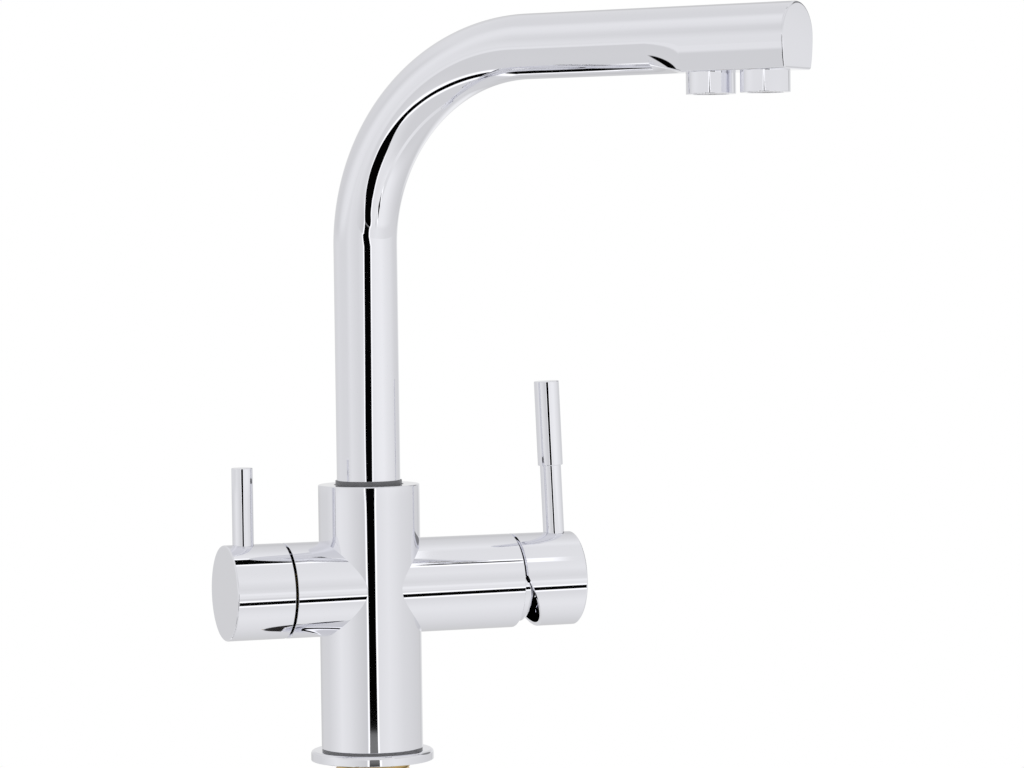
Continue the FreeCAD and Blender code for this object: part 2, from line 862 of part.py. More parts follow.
def spout_retaining_screw(document, s):
    """Screw in the back of the collar: its plain tip runs in the sleeve's groove."""
    body = new_body(document, "spout_retaining_screw")
    tip = s.spout_socket_radius - s.glide_play - s.retaining_depth + s.retaining_play
    shoulder = s.spout_socket_radius + s.retaining_play
    turned(body, "Screw", [
        (0.0, tip),
        (s.retaining_tip_radius, tip),
        (s.retaining_tip_radius, shoulder),
        (s.retaining_screw_radius, shoulder),
        (s.retaining_screw_radius, s.column_radius - OVERCUT),
        (0.0, s.column_radius - OVERCUT),
    ], plane="XY", at=(0.0, 0.0, s.retaining_place))


# ---- spout ---------------------------------------------------------------------------------------

def bent_tube(body, s, foot, end, outer, wall):
    """A tube along the spout's centre line: up from foot, round the bend and out to end."""
    turn_height = s.spout_height - s.bend_radius
    path = new_sketch(body, "CentreLine", "XZ")
    draw_line(path, (0.0, foot), (0.0, turn_height))
    draw_arc(path, (s.bend_radius, s.spout_height), (0.0, turn_height), (s.bend_radius, turn_height))
    draw_line(path, (s.bend_radius, s.spout_height), (end, s.spout_height))
    section = new_sketch(body, "Section", "XY", (0.0, 0.0, foot))
    draw_circle(section, 0.0, 0.0, outer)
    draw_circle(section, 0.0, 0.0, outer - wall)
    pipe = body.newObject("PartDesign::AdditivePipe", "Pipe")
    pipe.Profile = section
    pipe.Spine = (path, ["Edge1", "Edge2", "Edge3"])
    on_spout(body, s)


def spout_tube(document, s):
    body = new_body(document, "spout_tube")
    bent_tube(body, s, s.tube_foot, s.head_start, s.tube_radius, s.tube_wall)


def head_section(sketch, s, flat):
    """The head's outline: a half circle on top, drawn-in sides and a flat bottom.

    With flat False it is the tube's circle, split where the flat outline has its corners.
    """
    full = s.tube_radius
    if flat:
        side = s.head_side_radius
        corner = s.head_corner_radius
        reach = root((side - corner) * (side - corner) - (full - corner) * (full - corner))
        middle = full - side + reach
        side_centre = full - side
        side_end = (side_centre + side * reach / (side - corner),
                    -side * (full - corner) / (side - corner))
        bottom_end = (middle, -full)
    else:
        side_end = (full * cosine(45.0), -full * sine(45.0))
        bottom_end = (full * cosine(SPLIT_ANGLE), -full * sine(SPLIT_ANGLE))
        side_centre = length(0.0)
    mirrored = [(-x, y) for x, y in (side_end, bottom_end)]
    draw_arc(sketch, (full, 0.0), (-full, 0.0), (0.0, 0.0))
    draw_arc(sketch, (-full, 0.0), mirrored[0], (-side_centre, 0.0))
    draw_arc(sketch, side_end, (full, 0.0), (side_centre, 0.0))
    if flat:
        draw_arc(sketch, mirrored[0], mirrored[1], (-middle, corner - full))
        draw_arc(sketch, bottom_end, side_end, (middle, corner - full))
        draw_line(sketch, mirrored[1], bottom_end)
    else:
        draw_arc(sketch, mirrored[0], mirrored[1], (0.0, 0.0))
        draw_arc(sketch, bottom_end, side_end, (0.0, 0.0))
        draw_arc(sketch, mirrored[1], bottom_end, (0.0, 0.0))


def edges_on_plane(shape, across):
    """Names of the edges that lie in the plane x = across."""
    names = []
    for index, edge in enumerate(shape.Edges, start=1):
        middle = edge.valueAt((edge.FirstParameter + edge.LastParameter) / 2.0)
        points = [vertex.Point for vertex in edge.Vertexes] + [middle]
        if all(abs(point.x - across) < 1e-4 for point in points):
            names.append("Edge%d" % index)
    return names


def spout_head(document, s):
    """The cast tip: round where it meets the tube, lofted to its flat-bottomed section."""
    body = new_body(document, "spout_head")
    neck = new_sketch(body, "NeckOutline", "YZ", (0.0, s.spout_height, s.head_start))
    draw_circle(neck, 0.0, 0.0, s.tube_radius)
    padded(body, neck, "Neck", s.head_round_end - s.head_start)
    round_end = new_sketch(body, "RoundSection", "YZ", (0.0, s.spout_height, s.head_round_end))
    head_section(round_end, s, flat=False)
    flat_start = new_sketch(body, "FlatSection", "YZ", (0.0, s.spout_height, s.head_flat_start))
    head_section(flat_start, s, flat=True)
    loft = body.newObject("PartDesign::AdditiveLoft", "Transition")
    loft.Profile = round_end
    loft.Sections = [flat_start]
    loft.Ruled = True
    tip = new_sketch(body, "TipSection", "YZ", (0.0, s.spout_height, s.head_flat_start))
    head_section(tip, s, flat=True)
    pad = padded(body, tip, "Tip", s.spout_reach - s.head_flat_start)
    document.recompute()
    edge = body.newObject("PartDesign::Fillet", "EndEdge")
    edge.Base = (pad, edges_on_plane(pad.Shape, s.spout_reach.value))
    bind(edge, "Radius", s.head_end_edge)
    hollow_head(body, s)
    on_spout(body, s)


def hollow_head(body, s):
    """Mixed chamber, the filtered chamber beyond its wall, and the two threaded outlets."""
    cavity = new_sketch(body, "CavitySection", "YZ", (0.0, s.spout_height, s.head_start))
    span = root(s.head_cavity_radius * s.head_cavity_radius - s.head_floor * s.head_floor)
    draw_arc(cavity, (span, -s.head_floor), (-span, -s.head_floor), (0.0, 0.0))
    draw_line(cavity, (-span, -s.head_floor), (span, -s.head_floor))
    pocketed(body, cavity, "Cavity", s.head_cavity_end - s.head_start)
    bottom = s.spout_height - s.tube_radius
    thread = s.outlet_thread_length + s.outlet_washer_height
    for name, where in (("Rear", s.rear_outlet_place), ("Front", s.front_outlet_place)):
        drilled(body, name + "Thread", s.outlet_thread_radius,
                (where, 0.0, bottom - OVERCUT), "+Z", thread + OVERCUT)
    rear_rise = s.tube_radius - s.head_floor
    drilled(body, "RearWay", s.outlet_way_radius,
            (s.rear_outlet_place, 0.0, bottom), "+Z", rear_rise + OVERCUT)
    drilled(body, "FrontWay", s.outlet_way_radius,
            (s.front_outlet_place, 0.0, bottom), "+Z", s.tube_radius + s.front_chamber_rise)
    drilled(body, "TubeHole", s.filtered_radius + s.bush_play,
            (s.head_cavity_end - OVERCUT, 0.0, s.spout_height), "+X",
            s.filtered_end - s.head_cavity_end + OVERCUT)
    drilled(body, "EndSealSeat", s.end_seal_radius,
            (s.head_cavity_end - OVERCUT, 0.0, s.spout_height), "+X",
            s.end_seal_length + OVERCUT)


def outlets(document, s):
    """Threaded housing, flow insert and washer of each outlet."""
    bottom = -s.tube_radius - s.outlet_drop
    shoulder = -s.tube_radius
    top = shoulder + s.outlet_thread_length
    for name, where in (("rear", s.rear_outlet_place), ("front", s.front_outlet_place)):
        spot = (where, s.spout_height, 0.0)
        body = new_body(document, name + "_outlet_housing")
        turned(body, "Housing", [
            (s.outlet_bore - s.outlet_lip, bottom),
            rounded(s.outlet_radius, bottom, s.outlet_edge),
            (s.outlet_radius, shoulder),
            (s.outlet_thread_radius, shoulder),
            (s.outlet_thread_radius, top),
            (s.outlet_bore, top),
            (s.outlet_bore, bottom + s.outlet_lip),
            (s.outlet_bore - s.outlet_lip, bottom + s.outlet_lip),
        ], at=spot)
        on_spout(body, s)
        flow_insert(document, s, name, where, bottom + s.outlet_lip, top)
        body = new_body(document, name + "_outlet_washer")
        ring(body, "Ring", s.outlet_way_radius, s.outlet_thread_radius,
             top, top + s.outlet_washer_height, at=spot)
        on_spout(body, s)


def flow_insert(document, s, name, where, low, high):
    """A plastic cup with a ring of slots in its floor, upside down in the housing."""
    body = new_body(document, name + "_flow_insert")
    outer = s.outlet_bore
    inner = s.outlet_bore - s.outlet_lip * 2.0
    floor = s.insert_recess * 2.0
    turned(body, "Cup", [
        (0.0, low),
        (outer, low),
        (outer, high),
        (inner, high),
        (inner, low + floor),
        (0.0, low + floor),
    ])
    slot = slotted(body, "Slot", (s.outlet_lip * 3.0, -s.outlet_lip, low - OVERCUT),
                   (inner - s.insert_recess, s.outlet_lip, low + floor + OVERCUT))
    repeated(body, slot, "Slots", INSERT_SLOT_COUNT)
    turn = FreeCAD.Rotation(FreeCAD.Vector(0, 0, -1), s.spout_turn.value)
    east = Length(math.cos(math.radians(s.spout_turn.value)), "cos(%s)" % s.spout_turn.formula)
    south = Length(math.sin(math.radians(s.spout_turn.value)), "sin(%s)" % s.spout_turn.formula)
    place(body, (where * east, -(where * south), s.spout_height), turn)
    bind(body, "Placement.Rotation.Angle", s.spout_turn)


def filtered_tube(document, s):
    body = new_body(document, "filtered_tube")
    bent_tube(body, s, s.filtered_foot, s.filtered_end, s.filtered_radius, s.filtered_wall)
    body = new_body(document, "tube_end_seal")
    ring(body, "Ring", s.filtered_radius, s.end_seal_radius,
         s.head_cavity_end, s.head_cavity_end + s.end_seal_length,
         at=(0.0, s.spout_height, 0.0), turn=-90.0)
    on_spout(body, s)


def filtered_swivel(document, s):
    """Bush screwed into the chamber's floor, and the tube's tail fitting that turns in it."""
    bore = s.tail_radius + s.bush_play
    body = new_body(document, "filtered_bush")
    turned(body, "Bush", [
        (bore, s.bush_bottom),
        (s.bush_thread_radius, s.bush_bottom),
        (s.bush_thread_radius, s.chamber_floor),
        (s.bush_head_radius, s.chamber_floor),
        (s.bush_head_radius, s.bush_head_top),
        (bore, s.bush_head_top),
    ])
    body = new_body(document, "filtered_tail")
    turned(body, "Tail", [
        (s.tail_bore, s.tail_bottom),
        (s.tail_radius, s.tail_bottom),
        (s.tail_radius, s.tail_collar_bottom),
        (s.tail_collar_radius, s.tail_collar_bottom),
        (s.tail_collar_radius, s.filtered_foot),
        (s.filtered_radius - s.filtered_wall, s.filtered_foot),
        (s.filtered_radius - s.filtered_wall, s.filtered_foot + s.tail_barb),
        (s.tail_bore, s.filtered_foot + s.tail_barb),
    ])
    low = s.tail_seal_place - s.tail_seal_width / 2.0
    high = s.tail_seal_place + s.tail_seal_width / 2.0
    floor = s.tail_radius - s.tail_seal_depth
    bored(body, "SealGroove", [
        (floor, low),
        (s.tail_radius + OVERCUT, low),
        (s.tail_radius + OVERCUT, high),
        (floor, high),
    ])
    on_spout(body, s)
    body = new_body(document, "tail_seal_ring")
    ring(body, "Ring", floor, s.tail_radius + s.bush_play / 2.0, low, high)
    on_spout(body, s)


# ---- filter side ---------------------------------------------------------------------------------

def headwork_body(document, s):
    """Screwed-in valve body: slotted barrel, thread, hexagon and spindle neck."""
    body = new_body(document, "headwork_body")
    hex_start = s.filter_seam + s.headwork_gasket
    bore = s.spindle_radius + s.spindle_play
    ledge = s.spindle_flange_end + s.spindle_head_gap
    turned(body, "Barrel", [
        (s.filter_disc_bore, s.headwork_start),
        (s.headwork_barrel, s.headwork_start),
        (s.headwork_barrel, s.headwork_thread_start),
        (s.headwork_radius, s.headwork_thread_start),
        (s.headwork_radius, s.headwork_hex_end),
        (s.headwork_neck_radius, s.headwork_hex_end),
        bevelled(s.headwork_neck_radius, s.headwork_neck_end, s.column_edge),
        (bore, s.headwork_neck_end),
        (bore, ledge),
        (s.filter_disc_bore, ledge),
    ])
    sketch = new_sketch(body, "HexOutline", "XY", (0.0, 0.0, hex_start))
    hexagon(sketch, s.headwork_across)
    draw_circle(sketch, 0.0, 0.0, s.headwork_neck_radius)
    padded(body, sketch, "Hex", s.headwork_hex_end - hex_start)
    slotted(body, "Windows",
            (-s.window_half, -s.headwork_radius, s.filter_disc_start + s.filter_disc_height),
            (s.window_half, s.headwork_radius, s.headwork_thread_start))
    on_filter_arm(body, s)


def headwork_seals(document, s):
    body = new_body(document, "headwork_gasket")
    ring(body, "Ring", s.headwork_radius, s.headwork_gasket_radius,
         s.filter_seam, s.filter_seam + s.headwork_gasket)
    on_filter_arm(body, s)
    body = new_body(document, "headwork_seat_seal")
    ring(body, "Ring", s.seat_seal_inner, s.filter_disc_bore - s.filter_disc_play,
         s.headwork_seat, s.filter_disc_start)
    on_filter_arm(body, s)


def draw_sector(sketch, inner, outer, middle_angle):
    """A quarter-round opening of a ceramic disc, narrower than a right angle."""
    first, last = middle_angle - PORT_HALF_ANGLE, middle_angle + PORT_HALF_ANGLE

    def spot(radius, angle):
        return (radius * cosine(angle), radius * sine(angle))

    draw_arc(sketch, spot(outer, first), spot(outer, last), (0.0, 0.0))
    draw_line(sketch, spot(outer, last), spot(inner, last))
    draw_arc(sketch, spot(inner, first), spot(inner, last), (0.0, 0.0))
    draw_line(sketch, spot(inner, first), spot(outer, first))


def filter_discs(document, s):
    """Two ceramic discs with two openings each; at rest the turning one closes the fixed one."""
    low = s.filter_disc_start
    for label, middle_angle, play in (
            ("filter_fixed_disc", 90.0, s.filter_disc_play),
            ("filter_turning_disc", 0.0, s.filter_disc_play * 2.0)):
        body = new_body(document, label)
        turned(body, "Disc", [
            (0.0, low),
            (s.filter_disc_bore - play, low),
            (s.filter_disc_bore - play, low + s.filter_disc_height),
            (0.0, low + s.filter_disc_height),
        ])
        for name, angle in (("FirstPort", middle_angle), ("SecondPort", middle_angle + 180.0)):
            sketch = new_sketch(body, name + "Outline", "XY", (0.0, 0.0, low))
            draw_sector(sketch, s.filter_port_inner, s.filter_port_outer, angle)
            pocketed(body, sketch, name, s.filter_disc_height)
        on_filter_arm(body, s)
        low = low + s.filter_disc_height


def filter_spindle(document, s):
    body = new_body(document, "filter_spindle")
    low = s.filter_disc_start + s.filter_disc_height * 2.0
    flange = s.filter_disc_bore - s.filter_disc_play * 3.0
    turned(body, "Shaft", [
        (0.0, low),
        (flange, low),
        (flange, s.spindle_flange_end),
        (s.spindle_radius, s.spindle_flange_end),
        (s.spindle_radius, s.spindle_shoulder),
        (0.0, s.spindle_shoulder),
    ])
    half = s.spindle_tongue / 2.0
    for name, near, far in (("LeftRelief", -flange - OVERCUT, -half),
                            ("RightRelief", half, flange + OVERCUT)):
        slotted(body, name, (near, -flange - OVERCUT, low - OVERCUT),
                (far, flange + OVERCUT, s.spindle_flange_end))
    seal_low = s.spindle_seal_place - s.tail_seal_width / 2.0
    seal_high = s.spindle_seal_place + s.tail_seal_width / 2.0
    floor = s.spindle_radius - s.tail_seal_depth
    for name, near, far, bottom in (
            ("SealGroove", seal_low, seal_high, floor),
            ("CirclipGroove", s.circlip_place, s.circlip_place + s.circlip_height,
             s.circlip_groove)):
        bored(body, name, [
            (bottom, near),
            (s.spindle_radius + OVERCUT, near),
            (s.spindle_radius + OVERCUT, far),
            (bottom, far),
        ])
    side = s.spindle_square / 2.0
    block(body, "Square", (-side, -side, s.spindle_shoulder), (side, side, s.spindle_end))
    on_filter_arm(body, s)
    body = new_body(document, "spindle_seal_ring")
    ring(body, "Ring", floor, s.spindle_radius + s.spindle_play / 2.0, seal_low, seal_high)
    on_filter_arm(body, s)


def spindle_circlip(document, s):
    body = new_body(document, "spindle_circlip")
    top = s.circlip_place + s.circlip_height
    ring(body, "Ring", s.circlip_groove, s.circlip_radius, s.circlip_place, top)
    gap = s.circlip_height
    slotted(body, "Gap", (0.0, -gap, s.circlip_place - OVERCUT),
            (s.circlip_radius + OVERCUT, gap, top + OVERCUT))
    on_filter_arm(body, s)


def cap_shell(body, s, rim, end, floor, boss_start):
    """A turned cap: open at the rim, with a boss on its closed end for the spindle or stem."""
    inner = s.arm_radius - s.cap_wall
    turned(body, "Shell", [
        (inner, rim),
        bevelled(s.arm_radius, rim, s.rim_edge),
        rounded(s.arm_radius, end, s.cap_edge),
        (0.0, end),
        (0.0, boss_start),
        (s.boss_radius, boss_start),
        (s.boss_radius, floor),
        (inner, floor),
    ])


def lever_socket(body, s, lever_radius, at, turn):
    """Seat and threaded hole for a lever, down into the boss that carries it."""
    spot = lever_radius + s.spot_play
    out = s.arm_radius + OVERCUT
    bored(body, "LeverSocket", [
        (0.0, s.stud_foot),
        (s.stud_radius, s.stud_foot),
        (s.stud_radius, s.lever_seat),
        (spot, s.lever_seat),
        (spot, out),
        (0.0, out),
    ], at=at, turn=turn)


def lever_boss(body, s, at, turn):
    """Solid round the lever's stud, between the spindle boss and the cap's wall."""
    low = s.boss_radius - OVERCUT
    top = s.arm_radius - s.cap_wall / 2.0
    turned(body, "LeverBoss", [
        (0.0, low),
        (s.lever_boss_radius, low),
        (s.lever_boss_radius, top),
        (0.0, top),
    ], at=at, turn=turn)


def filter_handle(document, s):
    body = new_body(document, "filter_cap")
    rim = s.filter_seam + s.seam_gap
    at, turn = (0.0, s.filter_lever_place, 0.0), -90.0
    cap_shell(body, s, rim, s.filter_cap_end, s.filter_cap_floor, s.filter_boss_start)
    lever_boss(body, s, at, turn)
    lever_socket(body, s, s.filter_lever_radius, at, turn)
    side = s.spindle_square / 2.0 + s.square_play
    slotted(body, "SquareSocket", (-side, -side, s.filter_boss_start - OVERCUT),
            (side, side, s.spindle_end + s.spindle_head_gap))
    drilled(body, "GrubHole", s.grub_radius, (0.0, 0.0, s.filter_lever_place), "-X",
            s.arm_radius + OVERCUT)
    on_filter_arm(body, s)
    body = new_body(document, "filter_lever")
    turned(body, "Rod", [
        (0.0, s.stud_foot),
        (s.stud_radius, s.stud_foot),
        (s.stud_radius, s.lever_seat),
        (s.filter_lever_radius, s.lever_seat),
        bevelled(s.filter_lever_radius, s.filter_lever_top, s.lever_bevel),
        (0.0, s.filter_lever_top),
    ], at=at, turn=turn)
    on_filter_arm(body, s)
    body = new_body(document, "filter_grub_screw")
    rod(body, "Screw", s.grub_radius,
        (-s.spindle_square / 2.0, 0.0, s.filter_lever_place), "-X",
        s.boss_radius - s.spindle_square / 2.0)
    on_filter_arm(body, s)


# ---- mixer side ----------------------------------------------------------------------------------

def port_places(s):
    """Name, local x, local y and radius of the cartridge's three ports."""
    return (
        ("Hot", s.inlet_rise, s.inlet_side, s.waterway_radius),
        ("Cold", s.inlet_rise, -s.inlet_side, s.waterway_radius),
        ("Mixed", -s.outlet_sink, 0.0, s.riser_radius),
    )


def cartridge_base(document, s):
    low = s.cartridge_seat
    body = new_body(document, "cartridge_base")
    turned(body, "Disc", [
        (0.0, low),
        (s.cartridge_radius, low),
        (s.cartridge_radius, low + s.cartridge_base_height),
        (0.0, low + s.cartridge_base_height),
    ])
    for name, x, y, radius in port_places(s):
        drilled(body, name + "Port", radius, (x, y, low - OVERCUT), "+Z",
                s.cartridge_base_height + OVERCUT * 2.0)
        drilled(body, name + "SealSeat", radius + s.port_seal_wall,
                (x, y, low - OVERCUT), "+Z", s.port_seal_height + OVERCUT)
    on_mixer_arm(body, s)


def cartridge_port_seals(document, s):
    """Three rubber rings between the cartridge's base and its seat in the arm."""
    seals = []
    for name, x, y, radius in port_places(s):
        wall = document.addObject("Part::Cylinder", name + "SealWall")
        bind(wall, "Radius", radius + s.port_seal_wall)
        hole = document.addObject("Part::Cylinder", name + "SealHole")
        bind(hole, "Radius", radius)
        for piece in (wall, hole):
            bind(piece, "Height", s.port_seal_height)
            place(piece, (s.cartridge_seat, -y, s.handle_height + x), ALONG_MIXER_ARM)
        seal = document.addObject("Part::Cut", name + "Seal")
        seal.Base = wall
        seal.Tool = hole
        seals.append(seal)
    group = document.addObject("Part::Compound", "cartridge_port_seals")
    group.Label = "cartridge_port_seals"
    group.Links = seals


def mixer_discs(document, s):
    """Fixed disc with three ports, and the disc that slides and turns over it."""
    low = s.cartridge_seat + s.cartridge_base_height
    top = low + s.mixer_disc_height
    body = new_body(document, "mixer_fixed_disc")
    turned(body, "Disc", [
        (0.0, low),
        (s.mixer_disc_radius, low),
        (s.mixer_disc_radius, top),
        (0.0, top),
    ])
    for name, x, y, radius in port_places(s):
        drilled(body, name + "Port", radius, (x, y, low - OVERCUT), "+Z",
                s.mixer_disc_height + OVERCUT * 2.0)
    on_mixer_arm(body, s)
    body = new_body(document, "mixer_moving_disc")
    rod(body, "Disc", s.moving_disc_radius, (-s.moving_disc_rest, 0.0, top), "+Z",
        s.moving_disc_height)
    sketch = new_sketch(body, "RecessOutline", "XY", (-s.moving_disc_rest, 0.0, top))
    wide = s.recess_half_width
    deep = s.outlet_sink + s.waterway_radius
    corners = [(s.recess_crown, wide), (0.0, wide), (-deep, s.riser_radius),
               (-deep, -s.riser_radius), (0.0, -wide), (s.recess_crown, -wide)]
    for index, corner in enumerate(corners):
        draw_line(sketch, corners[index - 1], corner)
    pocketed(body, sketch, "MixingRecess", s.mixing_recess)
    on_mixer_arm(body, s)
    return top + s.moving_disc_height


def disc_carrier(document, s, low):
    """Plastic slide on the moving disc, with flats for the turret's rails and a ball pocket."""
    body = new_body(document, "disc_carrier")
    rod(body, "Slide", s.carrier_radius, (-s.moving_disc_rest, 0.0, low), "+Z",
        s.carrier_top - low)
    out = s.carrier_radius * 2.0
    for name, near, far in (("NearFlat", -out, -s.carrier_flat), ("FarFlat", s.carrier_flat, out)):
        slotted(body, name, (-out, near, low - OVERCUT), (out, far, s.carrier_top + OVERCUT))
    half = s.stem_ball_radius + s.ball_play
    slotted(body, "BallPocket",
            (-half, -s.stem_half_width, s.carrier_pocket_floor),
            (half, s.stem_half_width, s.carrier_top + OVERCUT))
    on_mixer_arm(body, s)


def cartridge_housing(document, s):
    body = new_body(document, "cartridge_housing")
    low = s.cartridge_seat + s.cartridge_base_height
    bore = s.turret_neck_radius + s.turret_play
    turned(body, "Cup", [
        (s.cartridge_inner, low),
        (s.cartridge_radius, low),
        (s.cartridge_radius, s.cartridge_shoulder),
        (s.cartridge_neck_radius, s.cartridge_shoulder),
        (s.cartridge_neck_radius, s.cartridge_neck_end),
        (bore, s.cartridge_neck_end),
        (bore, s.cartridge_roof),
        (s.cartridge_inner, s.cartridge_roof),
    ])
    on_mixer_arm(body, s)


def mixer_turret(document, s):
    """Turns in the housing and carries the pivot pin; its rails lead the disc carrier."""
    body = new_body(document, "mixer_turret")
    flange = s.cartridge_inner - s.turret_play
    turned(body, "Turret", [
        (0.0, s.turret_start),
        (flange, s.turret_start),
        (flange, s.turret_flange_end),
        (s.turret_neck_radius, s.turret_flange_end),
        (s.turret_neck_radius, s.turret_end),
        (0.0, s.turret_end),
    ])
    rail_foot = s.carrier_pocket_floor + s.rail_play
    near = s.carrier_flat + s.rail_play
    far = near + s.rail_width
    for name, low, high in (("NearRail", -far, -near), ("FarRail", near, far)):
        block(body, name, (-s.rail_half_length, low, rail_foot),
              (s.rail_half_length, high, s.turret_start))
    half = s.stem_half_width + s.slot_play
    slotted(body, "FlangeSlot", (-s.slot_low, -half, s.turret_start - OVERCUT),
            (s.flange_slot_high, half, s.turret_flange_end))
    slotted(body, "NeckSlot", (-s.slot_low, -half, s.turret_flange_end),
            (s.slot_high, half, s.turret_end + OVERCUT))
    drilled(body, "PinHole", s.pivot_radius,
            (0.0, -s.turret_neck_radius, s.pivot_place), "+Y", s.turret_neck_radius * 2.0)
    on_mixer_arm(body, s)
    body = new_body(document, "pivot_pin")
    rod(body, "Pin", s.pivot_radius, (0.0, -s.pivot_reach, s.pivot_place), "+Y",
        s.pivot_reach * 2.0)
    on_mixer_arm(body, s)


def mixer_stem(document, s):
    """Lever stem: square head for the cap, pivot hole, and the ball that drives the carrier."""
    body = new_body(document, "mixer_stem")
    wide = s.stem_half_width
    block(body, "Head", (-wide, -wide, s.stem_head_start), (wide, wide, s.stem_end))
    block(body, "Waist", (-s.stem_waist_half, -wide, s.stem_shin_end),
          (s.stem_waist_half, wide, s.stem_head_start))
    block(body, "Shin", (-s.stem_shin_half, -wide + s.slot_play, s.stem_ball_place),
          (s.stem_shin_half, wide - s.slot_play, s.stem_shin_end))
    rod(body, "Ball", s.stem_ball_radius,
        (0.0, -wide + s.slot_play * 2.0, s.stem_ball_place), "+Y", wide * 2.0 - s.slot_play * 4.0)
    drilled(body, "PivotHole", s.pivot_radius + s.pivot_play,
            (0.0, -wide - OVERCUT, s.pivot_place), "+Y", (wide + OVERCUT) * 2.0)
    on_mixer_arm(body, s)


def cartridge_nut(document, s):
    """Ring nut that holds the cartridge down, with four spanner slots."""
    body = new_body(document, "cartridge_nut")
    bore = s.cartridge_neck_radius + s.turret_play
    ring(body, "Ring", bore, s.cartridge_nut_radius, s.cartridge_shoulder, s.cartridge_nut_end)
    half = s.nut_slot / 2.0
    slot = slotted(body, "Slot", (bore - OVERCUT, -half, s.cartridge_nut_end - half),
                   (s.cartridge_nut_radius - half, half, s.cartridge_nut_end + OVERCUT))
    repeated(body, slot, "Slots", NUT_SLOT_COUNT)
    on_mixer_arm(body, s)


def mixer_shroud(document, s):
    """Chrome ring on the arm's end that hides the nut under the tilting cap."""
    body = new_body(document, "mixer_shroud")
    inner = s.shroud_radius - s.shroud_wall
    skirt = s.cartridge_nut_radius - s.spot_play
    turned(body, "Ring", [
        (inner, s.cartridge_nut_end),
        (skirt, s.cartridge_nut_end),
        (skirt, s.mixer_seam),
        (s.shroud_radius, s.mixer_seam),
        rounded(s.shroud_radius, s.shroud_front, s.shroud_edge),
        (s.shroud_opening, s.shroud_front),
        (s.shroud_opening, s.shroud_front - s.shroud_wall),
        (inner, s.shroud_front - s.shroud_wall),
    ])
    on_mixer_arm(body, s)


def mixer_handle(document, s):
    rim = s.mixer_seam + s.seam_gap
    at = (0.0, s.mixer_lever_place, 0.0)
    turn = -90.0 - s.mixer_lever_lean
    body = new_body(document, "mixer_cap")
    cap_shell(body, s, rim, s.mixer_cap_end, s.mixer_cap_floor, s.mixer_boss_start)
    lever_boss(body, s, at, turn)
    lever_socket(body, s, s.mixer_rod_radius, at, turn)
    side = s.stem_half_width + s.square_play
    slotted(body, "SquareSocket", (-side, -side, s.mixer_boss_start - OVERCUT),
            (side, side, s.stem_end + s.spindle_head_gap))
    drilled(body, "GrubHole", s.mixer_grub_radius, (0.0, 0.0, s.mixer_grub_place), "-X",
            s.arm_radius + OVERCUT)
    cut = new_sketch(body, "RimCutOutline", "XZ")
    reach = s.arm_radius + OVERCUT
    slope = (reach + s.rim_cut_start) * tangent(s.rim_cut_angle)
    corners = [(s.rim_cut_start, rim), (s.rim_cut_start, rim - OVERCUT),
               (-reach, rim - OVERCUT), (-reach, rim + slope)]
    for index, corner in enumerate(corners):
        draw_line(cut, corners[index - 1], corner)
    pocketed(body, cut, "RimCut", reach * 2.0, both_ways=True)
    on_mixer_arm(body, s)
    body = new_body(document, "mixer_lever_rod")
    turned(body, "Rod", [
        (0.0, s.stud_foot),
        (s.stud_radius, s.stud_foot),
        (s.stud_radius, s.lever_seat),
        (s.mixer_rod_radius, s.lever_seat),
        (s.mixer_rod_radius, s.mixer_rod_top),
        (s.grip_stud_radius, s.mixer_rod_top),
        (s.grip_stud_radius, s.mixer_rod_top + s.grip_stud_length),
        (0.0, s.mixer_rod_top + s.grip_stud_length),
    ], at=at, turn=turn)
    on_mixer_arm(body, s)
    body = new_body(document, "mixer_lever_grip")
    turned(body, "Grip", [
        (s.grip_stud_radius, s.mixer_rod_top),
        bevelled(s.grip_radius, s.mixer_rod_top, s.lever_bevel),
        bevelled(s.grip_radius, s.grip_top, s.lever_bevel),
        (0.0, s.grip_top),
        (0.0, s.mixer_rod_top + s.grip_stud_length),
        (s.grip_stud_radius, s.mixer_rod_top + s.grip_stud_length),
    ], at=at, turn=turn)
    on_mixer_arm(body, s)
    body = new_body(document, "mixer_grub_screw")
    rod(body, "Screw", s.mixer_grub_radius, (-s.stem_half_width, 0.0, s.mixer_grub_place), "-X",
        s.boss_radius - s.stem_half_width)
    on_mixer_arm(body, s)


# ---- document ------------------------------------------------------------------------------------

def build(document):
    s = Sizes(document, SIZES)
    document.recompute()
    base_flange(document, s)
    base_gasket(document, s)
    threaded_shank(document, s)
    nut_top = deck_washers(document, s)
    fixing_nut(document, s, nut_top)
    column_body(document, s)
    glide_rings(document, s)
    swivel_sleeve(document, s)
    spout_seals(document, s)
    spout_retaining_screw(document, s)
    spout_tube(document, s)
    spout_head(document, s)
    outlets(document, s)
    filtered_tube(document, s)
    filtered_swivel(document, s)
    headwork_body(document, s)
    headwork_seals(document, s)
    filter_discs(document, s)
    filter_spindle(document, s)
    spindle_circlip(document, s)
    filter_handle(document, s)
    cartridge_base(document, s)
    cartridge_port_seals(document, s)
    carrier_low = mixer_discs(document, s)
    disc_carrier(document, s, carrier_low)
    cartridge_housing(document, s)
    mixer_turret(document, s)
    mixer_stem(document, s)
    cartridge_nut(document, s)
    mixer_shroud(document, s)
    mixer_handle(document, s)
    document.recompute()


def sub_parts(document):
    """The objects that are written out: every body, and the two groups of rings."""
    kinds = ("PartDesign::Body", "Part::Compound")
    return [thing for thing in document.Objects if thing.TypeId in kinds]


def check(document):
    for thing in document.Objects:
        if "Invalid" in thing.State or "Error" in thing.State:
            raise RuntimeError("%s (%s) failed: %s" % (thing.Name, thing.Label, thing.State))
    for part in sub_parts(document):
        if part.Shape.isNull() or not part.Shape.isValid() or part.Shape.Volume <= 0.0:
            raise RuntimeError("%s has no valid solid" % part.Label)


